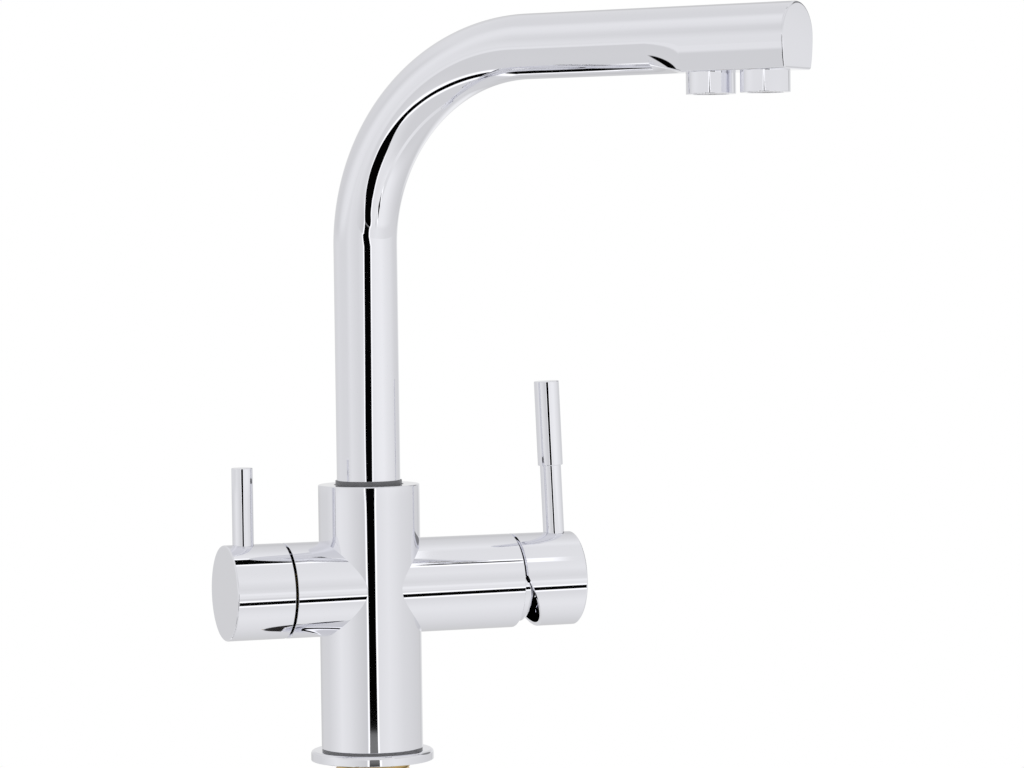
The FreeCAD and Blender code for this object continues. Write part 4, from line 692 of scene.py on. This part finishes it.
def painted_shade_foot_ring():
    """Dark grey ring in the groove at the column's foot on the base ring: painted shade for the
    shadow line there.
    """
    inner, outer = COLUMN_RADIUS - FOOT_INSET, COLUMN_RADIUS - SHADE_RING_INSET
    shade_ring = turned_piece("painted_shade_foot_ring", [
        (inner, FLANGE_HEIGHT),
        (outer, FLANGE_HEIGHT),
        (outer, FLANGE_HEIGHT + FOOT_HEIGHT, SHADE_RING_EDGE),
        (inner, FLANGE_HEIGHT + FOOT_HEIGHT),
    ], UPRIGHT, "root", "rubber", [], FINE)
    # painted shade: the dark grey fill stands in for the shadow in the foot groove
    shade_ring.data.materials[0] = GREY_ACETAL_AND_FOOT_SHADE


def retaining_screw():
    """Socket screw in the back of the collar."""
    face = COLUMN_RADIUS - SCREW_SINK
    radius = SCREW_RADIUS - SCREW_PLAY
    corners = rod(radius, face - SCREW_LENGTH, face, 0.0, SCREW_EDGE)
    blank = Turned(corners, SCREW_AXIS, SMALL)
    socket = hex_bar("socket", SCREW_KEY, face - SCREW_KEY_DEPTH, face + OVER, SCREW_AXIS)
    piece = shaped("retaining_screw", blank, prisms=[socket])
    dress(piece, "root", "steel", "spout_retaining_screw")


def hex_bar(name, across, low, high, place):
    """A hexagonal bar along the place's Z axis, for cutting a key's socket."""
    rings = [[place @ point for point in ring_points(across / math.sqrt(3.0), 6, height)]
             for height in (high, low)]
    return straight_solid(name, *rings)


# ---- spout ---------------------------------------------------------------------------------------

def centre_line(along):
    """Point, outward normal and direction of the spout's centre line at a length from its foot."""
    if along <= TUBE_RISE:
        return UP * (TUBE_FOOT + along), -SPOUT_WAY, UP
    if along < TUBE_RISE + BEND_LENGTH:
        angle = (along - TUBE_RISE) / BEND_RADIUS
        out = -SPOUT_WAY * math.cos(angle) + UP * math.sin(angle)
        middle = SPOUT_WAY * BEND_RADIUS + UP * (SPOUT_HEIGHT - BEND_RADIUS)
        return middle + out * BEND_RADIUS, out, SPOUT_WAY * math.sin(angle) + UP * math.cos(angle)
    reach = BEND_RADIUS + along - TUBE_RISE - BEND_LENGTH
    return SPOUT_WAY * reach + UP * SPOUT_HEIGHT, UP, SPOUT_WAY


def length_at(reach):
    """Length along the centre line of a place on its straight run, given its reach."""
    return TUBE_RISE + BEND_LENGTH + reach - BEND_RADIUS


def circle_run(radius, first, last, steps):
    run = []
    for step in range(steps + 1):
        angle = math.radians(first + (last - first) * step / steps)
        along = (math.cos(angle), math.sin(angle))
        run.append(((radius * along[0], radius * along[1]), along))
    return run


def head_sections():
    """The round section and the flat-bottomed one, as matching runs of (point, normal)."""
    full, side, corner = TUBE_RADIUS, HEAD_SIDE_RADIUS, HEAD_CORNER
    reach = math.sqrt((side - corner) ** 2 - (full - corner) ** 2)
    middle = full - side + reach
    lean = math.degrees(math.asin((full - corner) / (side - corner)))
    steps = HEAD_STEPS

    def shifted(run, x, y):
        return [((point[0] + x, point[1] + y), normal) for point, normal in run]

    flat = [
        shifted(circle_run(side, 180.0, 180.0 + lean, steps[0]), side - full, 0.0),
        shifted(circle_run(corner, 180.0 + lean, 270.0, steps[1]), -middle, corner - full),
        [((-middle + 2.0 * middle * step / steps[2], -full), (0.0, -1.0))
         for step in range(steps[2] + 1)],
        shifted(circle_run(corner, 270.0, 360.0 - lean, steps[3]), middle, corner - full),
        shifted(circle_run(side, 360.0 - lean, 360.0, steps[4]), full - side, 0.0),
        circle_run(full, 0.0, 180.0, steps[5]),
    ]
    bounds = (180.0, 225.0, 180.0 + HEAD_SPLIT, 360.0 - HEAD_SPLIT, 315.0, 360.0, 540.0)
    around = [circle_run(full, first, last, count)
              for first, last, count in zip(bounds, bounds[1:], steps)]
    return around, flat


def laid(run, along, out_shift=0.0):
    """A section run put on the spout's centre line, drawn in by out_shift."""
    centre, up, _ = centre_line(along)
    row = []
    for (x, y), (nx, ny) in run:
        point = centre + SPOUT_SIDE * (x - nx * out_shift) + up * (y - ny * out_shift)
        row.append((point, SPOUT_SIDE * nx + up * ny))
    return row


def spout():
    """Bent tube and its head in one skin: round in the tube, flat-bottomed at the tip."""
    skin = Skin()
    around, flat = head_sections()
    stations = [TUBE_RISE * step / RISE_STEPS for step in range(RISE_STEPS)]
    stations += [TUBE_RISE + BEND_LENGTH * step / BEND_STEPS for step in range(BEND_STEPS)]
    stations += [length_at(BEND_RADIUS + (HEAD_ROUND_END - BEND_RADIUS) * step / RUN_STEPS)
                 for step in range(RUN_STEPS + 1)]
    for run in around:
        skin.grid([laid(run, along) for along in stations])
    for round_run, flat_run in zip(around, flat):
        rows = []
        for step in range(LOFT_STEPS + 1):
            share = step / LOFT_STEPS
            along = length_at(HEAD_ROUND_END + (HEAD_FLAT_START - HEAD_ROUND_END) * share)
            run = [((a[0] + (b[0] - a[0]) * share, a[1] + (b[1] - a[1]) * share), na)
                   for (a, na), (b, _) in zip(round_run, flat_run)]
            rows.append([point for point, _ in laid(run, along)])
        skin.grid(ruled_normals(rows, round_run, flat_run))
    end_start = SPOUT_REACH - HEAD_END_EDGE
    for run in flat:
        rows = [laid(run, length_at(HEAD_FLAT_START)), laid(run, length_at(end_start))]
        skin.grid(rows)
        edge = []
        for step in range(EDGE_STEPS + 1):
            angle = math.radians(90.0 * step / EDGE_STEPS)
            along = length_at(end_start + HEAD_END_EDGE * math.sin(angle))
            row = laid(run, along, HEAD_END_EDGE * (1.0 - math.cos(angle)))
            edge.append([(point, (normal * math.cos(angle) + SPOUT_WAY * math.sin(angle)))
                         for point, normal in row])
        skin.grid(edge)
    rim = []
    for run in flat:
        rim += [point for point, _ in laid(run, length_at(SPOUT_REACH), HEAD_END_EDGE)][:-1]
    skin.face([(point, SPOUT_WAY) for point in rim])
    inner = TUBE_RADIUS - TUBE_WALL
    hollow = circle_run(inner, 0.0, 360.0, PLAIN)
    inside = [(point, (-normal[0], -normal[1])) for point, normal in hollow]
    skin.grid([laid(inside, along) for along in stations], flip=True)
    foot_outer = [pair for run in around for pair in laid(run, 0.0)[:-1]]
    middle = centre_line(0.0)[0]
    inner_ring = [middle + (point - middle) * (inner / TUBE_RADIUS) for point, _ in foot_outer]
    closing = [[(point, -UP) for point in inner_ring + inner_ring[:1]],
               [(point, -UP) for point, _ in foot_outer + foot_outer[:1]]]
    skin.grid(closing, flip=True)
    dress(skin.made("spout"), "spout", "chrome", "spout_tube", "spout_head")


def ruled_normals(rows, round_run, flat_run):
    """Normals of the head's ruled part: across the ruling, by the sections' own tangents."""
    made = []
    last = len(rows) - 1
    for index, row in enumerate(rows):
        share = index / last
        line = []
        for step, point in enumerate(row):
            ahead = (rows[-1][step] - rows[0][step]).normalized()
            first, second = round_run[step][1], flat_run[step][1]
            x = first[0] + (second[0] - first[0]) * share
            y = first[1] + (second[1] - first[1]) * share
            normal = SPOUT_SIDE * x + UP * y
            normal = normal - ahead * normal.dot(ahead)
            line.append((point, normal.normalized()))
        made.append(line)
    return made


def outlets():
    """Two round housings under the head, each with a lip inside its mouth."""
    bottom = SPOUT_HEIGHT - TUBE_RADIUS - OUTLET_DROP
    shoulder = SPOUT_HEIGHT - TUBE_RADIUS
    for name, reach in OUTLET_PLACES:
        place = axis_place(SPOUT_WAY * reach, UP)
        turned_piece(name + "_outlet", [
            (OUTLET_BORE - OUTLET_LIP, bottom, OUTLET_LIP_EDGE),
            (OUTLET_RADIUS, bottom, OUTLET_EDGE),
            (OUTLET_RADIUS, shoulder),
            (OUTLET_BORE, shoulder),
            (OUTLET_BORE, bottom + OUTLET_LIP),
            (OUTLET_BORE - OUTLET_LIP, bottom + OUTLET_LIP),
        ], place, "spout", "chrome", [name + "_outlet_housing"], FINE)


# ---- handles -------------------------------------------------------------------------------------

def cap_corners(rim, end, floor, boss):
    inner = ARM_RADIUS - CAP_WALL
    return [(inner, rim), (ARM_RADIUS, rim, RIM_EDGE), (ARM_RADIUS, end, CAP_EDGE), (0.0, end),
            (0.0, boss), (BOSS_RADIUS, boss), (BOSS_RADIUS, floor), (inner, floor)]


def lever_hole(radius, place):
    return round_bar(radius + LEVER_PLAY, LEVER_SEAT, ARM_RADIUS + OVER, place, PLAIN)


def lever_boss(place):
    """Solid round the lever's stud, inside the cap."""
    top = ARM_RADIUS - CAP_WALL / 2.0
    return round_bar(LEVER_BOSS_RADIUS, BOSS_RADIUS - OVER, top, place, PLAIN)


def grub_hole(radius, across):
    """Hole for the grub screw, in the cap's underside."""
    place = axis_place((across, 0.0, ARM_HEIGHT), (0.0, 0.0, -1.0))
    return round_bar(radius, BOSS_RADIUS - 2.0 * OVER, ARM_RADIUS + OVER, place, SMALL)


def filter_handle():
    rim = FILTER_SEAM + SEAM_GAP
    corners = cap_corners(rim, FILTER_CAP_END, FILTER_CAP_FLOOR, FILTER_BOSS)
    shell = Turned(corners, FILTER_ARM, FINE)
    holes = [lever_hole(FILTER_LEVER_RADIUS, FILTER_LEVER),
             grub_hole(FILTER_GRUB, -FILTER_LEVER_PLACE)]
    piece = shaped("filter_knob", shell, joined=[lever_boss(FILTER_LEVER)], cut=holes)
    dress(piece, "filter_valve", "chrome", "filter_cap")
    corners = rod(FILTER_LEVER_RADIUS, LEVER_SEAT, FILTER_LEVER_TOP, 0.0, LEVER_BEVEL)
    turned_piece("filter_rod", corners, FILTER_LEVER, "filter_valve", "chrome", ["filter_lever"])


def mixer_handle():
    rim = MIXER_SEAM + SEAM_GAP
    shell = Turned(cap_corners(rim, MIXER_CAP_END, MIXER_CAP_FLOOR, MIXER_BOSS), MIXER_ARM, FINE)
    reach = ARM_RADIUS + OVER
    slope = (reach + RIM_CUT_START) * math.tan(math.radians(RIM_CUT_ANGLE))
    upwards = Matrix(((0.0, 0.0, 1.0, 0.0), (0.0, -1.0, 0.0, 0.0),
                      (1.0, 0.0, 0.0, ARM_HEIGHT), (0.0, 0.0, 0.0, 1.0)))
    wedge = prism("rim_cut", [(RIM_CUT_START, rim - OVER), (RIM_CUT_START, rim),
                              (-reach, rim + slope), (-reach, rim - OVER)], reach, upwards)
    holes = [lever_hole(MIXER_ROD_RADIUS, MIXER_LEVER), grub_hole(MIXER_GRUB, MIXER_GRUB_PLACE)]
    piece = shaped("mixer_knob", shell, joined=[lever_boss(MIXER_LEVER)], cut=holes, prisms=[wedge])
    dress(piece, "mixer_handle", "chrome", "mixer_cap")
    turned_piece("mixer_rod", rod(MIXER_ROD_RADIUS, LEVER_SEAT, MIXER_ROD_TOP),
                 MIXER_LEVER, "mixer_handle", "chrome", ["mixer_lever_rod"])
    turned_piece("mixer_grip", rod(GRIP_RADIUS, MIXER_ROD_TOP, GRIP_TOP, LEVER_BEVEL, LEVER_BEVEL),
                 MIXER_LEVER, "mixer_handle", "chrome", ["mixer_lever_grip"])


def shroud():
    inner = SHROUD_RADIUS - SHROUD_WALL
    turned_piece("shroud", [
        (inner, SHROUD_FOOT),
        (SHROUD_SKIRT, SHROUD_FOOT),
        (SHROUD_SKIRT, MIXER_SEAM),
        (SHROUD_RADIUS, MIXER_SEAM),
        (SHROUD_RADIUS, SHROUD_FRONT, SHROUD_EDGE),
        (SHROUD_OPENING, SHROUD_FRONT, SHROUD_RIM_EDGE),
        (SHROUD_OPENING, SHROUD_FRONT - SHROUD_WALL),
        (inner, SHROUD_FRONT - SHROUD_WALL),
    ], MIXER_ARM, "root", "chrome", ["mixer_shroud"], FINE)


def finish_solids():
    """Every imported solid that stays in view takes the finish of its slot."""
    slots = {part["node"]: part["material_slot"] for part in frame["record"]["subparts"]}
    for node, thing in frame["nodes"].items():
        thing.data.materials.clear()
        thing.data.materials.append(FINISHES[slots[node]])
    # the upper glide ring's own grey, the material that also gives the painted foot shade
    frame["nodes"]["upper_glide_ring"].data.materials[0] = GREY_ACETAL_AND_FOOT_SHADE


# ---- studio --------------------------------------------------------------------------------------

# Levels of the pale sheets round the tap, by compass direction in degrees from the front. The
# spout's upright run sees the sheets at its own height, the column those a little lower, the bend
# those below.
TUBE_SHEETS = [
    (-180, 0.72), (-160, 0.74), (-140, 0.78), (-115, 0.76), (-95, 0.76), (-80, 0.83), (-60, 0.78),
    (-45, 0.75), (-30, 0.80), (0, 0.88), (20, 0.93), (40, 0.94), (60, 0.87), (80, 0.82),
    (100, 0.73), (130, 0.69), (145, 0.90), (158, 0.93), (165, 0.70), (180, 0.72),
]
COLUMN_SHEETS = [
    (-180, 0.62), (-160, 0.71), (-130, 0.73), (-110, 0.80), (-90, 0.88), (-70, 0.83), (-50, 0.74),
    (-30, 0.66), (-10, 0.82), (14, 0.86), (24, 0.88), (40, 0.84), (60, 0.78), (100, 0.72),
    (120, 0.69), (130, 0.63), (142, 0.80), (157, 0.86), (165, 0.62), (180, 0.62),
]
LOW_SHEETS = [
    (-180, 0.72), (-100, 0.72), (-76, 0.70), (-62, 0.74), (-45, 0.80), (-10, 0.86), (0, 0.85),
    (20, 0.93), (40, 0.93), (60, 0.85), (80, 0.76), (100, 0.70), (118, 0.66), (138, 0.95),
    (146, 0.93), (156, 0.60), (168, 0.60), (180, 0.72),
]
UNDER_LEVEL = 0.705
# Levels of the sheets overhead by the height of the direction: all round, and behind on the left.
HIGH_SHEETS = [(0.0, 0.84), (0.17, 0.79), (0.34, 0.72), (0.5, 0.72), (0.65, 0.79), (1.0, 0.75)]
BACK_SHEETS = [(0.0, 0.70), (0.1, 0.70), (0.3, 0.73), (0.5, 0.77), (0.65, 0.80), (1.0, 0.74)]
# Levels by slope for what the two arms mirror: from behind below (-180) over the front (0) to
# behind above (180).
ARM_SHEETS = [
    (-180, 0.65), (-150, 0.65), (-120, 0.72), (-90, 0.81), (-60, 0.88), (-50, 0.87), (-35, 0.81),
    (-10, 0.72), (0, 0.74), (20, 0.82), (30, 0.87), (50, 0.84), (90, 0.83), (100, 0.89),
    (120, 0.77), (140, 0.70), (150, 0.63), (165, 0.66), (180, 0.65),
]
# The long dark gap between the sheets: height of the direction, and both bounds of its tilt to
# GAP_AXIS.
GAP_AXIS = Vector((0.9184, -0.3201, 0.2331))
GAP_AHEAD = Vector((-0.3292, -0.9443, 0.0))
GAP_BOUNDS = [
    (-1.0, -0.60, -0.50), (-0.9, -0.595, -0.49), (-0.8, -0.588, -0.498), (-0.6, -0.592, -0.498),
    (-0.565, -0.598, -0.46), (-0.555, -0.60, -0.27), (-0.54, -0.60, -0.225), (-0.5, -0.598, -0.17),
    (-0.46, -0.60, -0.125), (-0.43, -0.60, -0.09), (-0.38, -0.595, -0.02), (-0.34, -0.59, 0.03),
    (-0.31, -0.58, 0.048), (-0.283, -0.548, 0.085), (-0.254, -0.51, 0.12), (-0.237, -0.44, 0.14),
    (-0.222, -0.395, 0.165), (-0.205, -0.29, 0.20), (-0.183, -0.225, 0.235), (-0.16, -0.17, 0.245),
    (-0.15, -0.145, 0.24), (-0.135, -0.105, 0.195), (-0.115, -0.096, 0.19), (-0.098, -0.085, 0.19),
    (-0.085, -0.10, 0.20), (-0.069, -0.10, 0.205), (-0.062, -0.155, 0.225), (-0.052, -0.155, 0.24),
    (-0.03, -0.11, 0.275), (0.027, 0.0, 0.37), (0.035, -0.24, -0.12), (0.1, 0.2, -0.6),
]
GAP_WIDENS, GAP_WIDENING, GAP_END = -0.34, 0.2, -0.57   # along GAP_AHEAD, behind under the spout
# Gaps that only the arms mirror: bounds of the slope, what it changes by sideways, and the bounds
# of the sideways part. The scales bring degrees and lengths to one measure of depth.
ARM_GAPS = [
    ((-43.8, -36.0), -60.0, (0.262, 0.372)),
    ((76.0, 91.0), 0.0, (0.2, 0.315)),
    ((51.5, 54.5), 0.0, (0.324, 0.350)),
]
SLOPE_SCALE, ACROSS_SCALE = 60.0, 0.15
BLACK, GREY = 0.001, 0.20
RIM_DEPTHS, RIM_LEVEL = (-0.085, -0.03), 1.25           # the sheets are brightest beside a gap
SHADE_DEPTHS = (-0.006, 0.006)
GREY_HEIGHTS, GREY_SOFT = (-0.1385, -0.130), (-0.0005, 0.0005)     # where the gap is only grey
# Round dark spots: direction, outer and inner edge in degrees, level.
DARK_SPOTS = [
    ((-0.80, 0.29, -0.52), 9.5, 8.0, BLACK),
    ((0.877, 0.354, 0.326), 19.0, 14.0, 0.24),
]
# Heights, and a compass direction, where one set of sheets gives way to the next.
TUBE_TO_COLUMN, COLUMN_TO_LOW, LOW_TO_UNDER = (-0.063, -0.068), (-0.145, -0.20), (-0.55, -0.85)
SIDES_TO_HIGH, HIGH_TO_BACK = (0.0, 0.05), (-115.0, -140.0)
LEFT_SHEET, LEFT_SOFT, LEFT_LEVEL = (-125.0, -75.0), 25.0, 0.87
ARM_SIDE, ARM_SIDE_SOFT, ARM_RISE = (0.255, 0.372), (-0.03, 0.0), (0.14, 0.2)

FLOOR_DROP, FLOOR_REACH, FLOOR_STEPS, FLOOR_LEVEL = 0.2, 6000.0, 64, 0.9
FLOOR_WHITE, FLOOR_FADE = 0.6, (0.16, 0.34)     # share of plain white in the middle, then to all


def studio_light():
    """Pale sheets all round; polished metal shows the dark gaps between them as black lines."""
    world = bpy.data.worlds.new("studio")
    bpy.context.scene.world = world
    world.use_nodes = True
    nodes = Nodes(world.node_tree)
    world.node_tree.nodes.clear()
    way = nodes.add("ShaderNodeTexCoord").outputs["Generated"]
    parts = nodes.add("ShaderNodeSeparateXYZ", {"Vector": way}).outputs
    across, rise = parts["X"], parts["Z"]
    front = nodes.sum("MULTIPLY", parts["Y"], -1.0)
    turn = nodes.sum("DEGREES", nodes.sum("ARCTAN2", across, front))
    slope = nodes.sum("DEGREES", nodes.sum("ARCTAN2", rise, front))

    pale = pale_sheets(nodes, across, rise, turn, slope)
    depth = main_gap(nodes, way, rise)
    for slopes, slant, sides in ARM_GAPS:
        slanted = nodes.sum("ADD", slope, nodes.sum("MULTIPLY", across, slant))
        arm_gap = nodes.least(nodes.inside(slanted, *slopes, SLOPE_SCALE),
                              nodes.inside(across, *sides, ACROSS_SCALE))
        depth = nodes.sum("MAXIMUM", depth, arm_gap)
    lit = nodes.blend(nodes.between(depth, *RIM_DEPTHS), pale, RIM_LEVEL)
    for towards, outer, inner, level in DARK_SPOTS:
        lit = nodes.blend(nodes.facing(way, towards, outer, inner), lit, level)
    dark = nodes.blend(nodes.between(nodes.inside(rise, *GREY_HEIGHTS), *GREY_SOFT), BLACK, GREY)
    shade = nodes.between(depth, *SHADE_DEPTHS)
    around = nodes.blend(shade, lit, dark)
    seen = nodes.add("ShaderNodeBackground", {"Color": (1.0, 1.0, 1.0, 1.0)})
    studio = nodes.add("ShaderNodeBackground", {"Color": around})
    camera = nodes.add("ShaderNodeLightPath").outputs["Is Camera Ray"]
    mix = nodes.add("ShaderNodeMixShader",
                    {"Fac": camera, 1: studio.outputs[0], 2: seen.outputs[0]})
    output = nodes.add("ShaderNodeOutputWorld")
    nodes.link(mix.outputs[0], output.inputs["Surface"])


def pale_sheets(nodes, across, rise, turn, slope):
    """Level of the surroundings away from the gaps."""
    def sheets(angle, levels):
        share = nodes.sum("ADD", nodes.sum("DIVIDE", angle, 360.0), 0.5)
        return nodes.ramp(share, [(place / 360.0 + 0.5, level) for place, level in levels])

    pale = nodes.blend(nodes.between(rise, *TUBE_TO_COLUMN),
                       sheets(turn, TUBE_SHEETS), sheets(turn, COLUMN_SHEETS))
    pale = nodes.blend(nodes.between(rise, *COLUMN_TO_LOW), pale, sheets(turn, LOW_SHEETS))
    pale = nodes.blend(nodes.between(rise, *LOW_TO_UNDER), pale, UNDER_LEVEL)
    high = nodes.blend(nodes.between(turn, *HIGH_TO_BACK),
                       nodes.ramp(rise, HIGH_SHEETS), nodes.ramp(rise, BACK_SHEETS))
    left = nodes.between(nodes.inside(turn, *LEFT_SHEET, LEFT_SOFT), 0.0, 1.0)
    high = nodes.blend(left, high, LEFT_LEVEL)
    pale = nodes.blend(nodes.between(rise, *SIDES_TO_HIGH), pale, high)
    beside = nodes.between(nodes.inside(across, *ARM_SIDE), *ARM_SIDE_SOFT)
    steep = nodes.between(nodes.sum("ABSOLUTE", rise), *ARM_RISE)
    beside = nodes.sum("MULTIPLY", beside, steep)
    return nodes.blend(beside, pale, sheets(slope, ARM_SHEETS))


def main_gap(nodes, way, rise):
    """How far a direction lies inside the long gap, from the front down to behind the tap."""
    tilt, ahead = nodes.dot(way, GAP_AXIS), nodes.dot(way, GAP_AHEAD)
    share = nodes.sum("ADD", nodes.sum("DIVIDE", rise, 2.0), 0.5)
    bounds = nodes.ramp(share, [(height / 2.0 + 0.5, ((low + 1.0) / 2.0, (high + 1.0) / 2.0, 0.0))
                                for height, low, high in GAP_BOUNDS])
    bounds = nodes.add("ShaderNodeSeparateColor", {"Color": bounds}).outputs
    tilt = nodes.sum("ADD", nodes.sum("DIVIDE", tilt, 2.0), 0.5)
    low_side = nodes.sum("SUBTRACT", tilt, bounds["Red"])
    high_side = nodes.sum("SUBTRACT", bounds["Green"], tilt)
    behind = nodes.sum("MAXIMUM", nodes.sum("SUBTRACT", GAP_WIDENS, ahead), 0.0)
    wider = nodes.sum("MULTIPLY", behind, GAP_WIDENING)
    depth = nodes.sum("MULTIPLY", nodes.least(low_side, nodes.sum("ADD", high_side, wider)), 2.0)
    return nodes.least(depth, nodes.sum("SUBTRACT", ahead, GAP_END))


def floor():
    """Round pale floor under the shank's end; beyond its middle it is the backdrop's white."""
    skin = Skin()
    skin.face([(point, UP)
               for point in ring_points(FLOOR_REACH, FLOOR_STEPS, SHANK_BOTTOM - FLOOR_DROP)])
    piece = skin.made("studio_floor")
    material, nodes, surface = new_material("white_floor")
    surface.inputs["Base Color"].default_value = (FLOOR_LEVEL, FLOOR_LEVEL, FLOOR_LEVEL, 1.0)
    surface.inputs["Roughness"].default_value = FLOOR_LEVEL
    place = nodes.add("ShaderNodeTexCoord").outputs["Object"]
    distance = nodes.add("ShaderNodeVectorMath", {0: place}, operation="LENGTH").outputs["Value"]
    white = nodes.add("ShaderNodeEmission", {"Color": (1.0, 1.0, 1.0, 1.0), "Strength": 1.0})
    far = nodes.between(distance, *FLOOR_FADE)
    camera = nodes.add("ShaderNodeLightPath").outputs["Is Camera Ray"]
    white_share = nodes.sum("ADD", nodes.sum("MULTIPLY", far, 1.0 - FLOOR_WHITE), FLOOR_WHITE)
    mix = nodes.add("ShaderNodeMixShader", {
        "Fac": nodes.sum("MULTIPLY", white_share, camera),
        1: surface.outputs[0], 2: white.outputs[0]})
    nodes.link(mix.outputs[0], material.node_tree.nodes["Material Output"].inputs["Surface"])
    piece.data.materials.append(material)
    piece.visible_glossy = False


def camera():
    """The photograph's own viewpoint."""
    turn, rise, roll = (math.radians(angle) for angle in (CAMERA_TURN, CAMERA_RISE, CAMERA_ROLL))
    level = math.cos(rise)
    back = Vector((math.sin(turn) * level, -math.cos(turn) * level, math.sin(rise)))
    right = (-back).cross(UP).normalized()
    up = right.cross(-back)
    target = Vector((0.0, 0.0, TARGET_HEIGHT)) + right * TARGET_RIGHT
    place = target + back * CAMERA_DISTANCE
    side = right * math.cos(roll) + up * math.sin(roll)
    top = up * math.cos(roll) - right * math.sin(roll)
    lens = bpy.data.cameras.new("photo_camera")
    lens.sensor_width = SENSOR_WIDTH
    lens.lens = FOCAL_PIXELS / PICTURE_WIDTH * SENSOR_WIDTH
    lens.clip_end = 50.0
    thing = bpy.data.objects.new("photo_camera", lens)
    bpy.context.scene.collection.objects.link(thing)
    swing = Matrix((side, top, back)).transposed().to_4x4()
    thing.matrix_world = Matrix.Translation(place * MM) @ swing
    bpy.context.scene.camera = thing


base_ring()
shank()
nut(washers())
column()
painted_shade_foot_ring()
retaining_screw()
spout()
outlets()
filter_handle()
mixer_handle()
shroud()
finish_solids()
studio_light()
floor()
camera()
bpy.context.scene.view_settings.view_transform = "Standard"
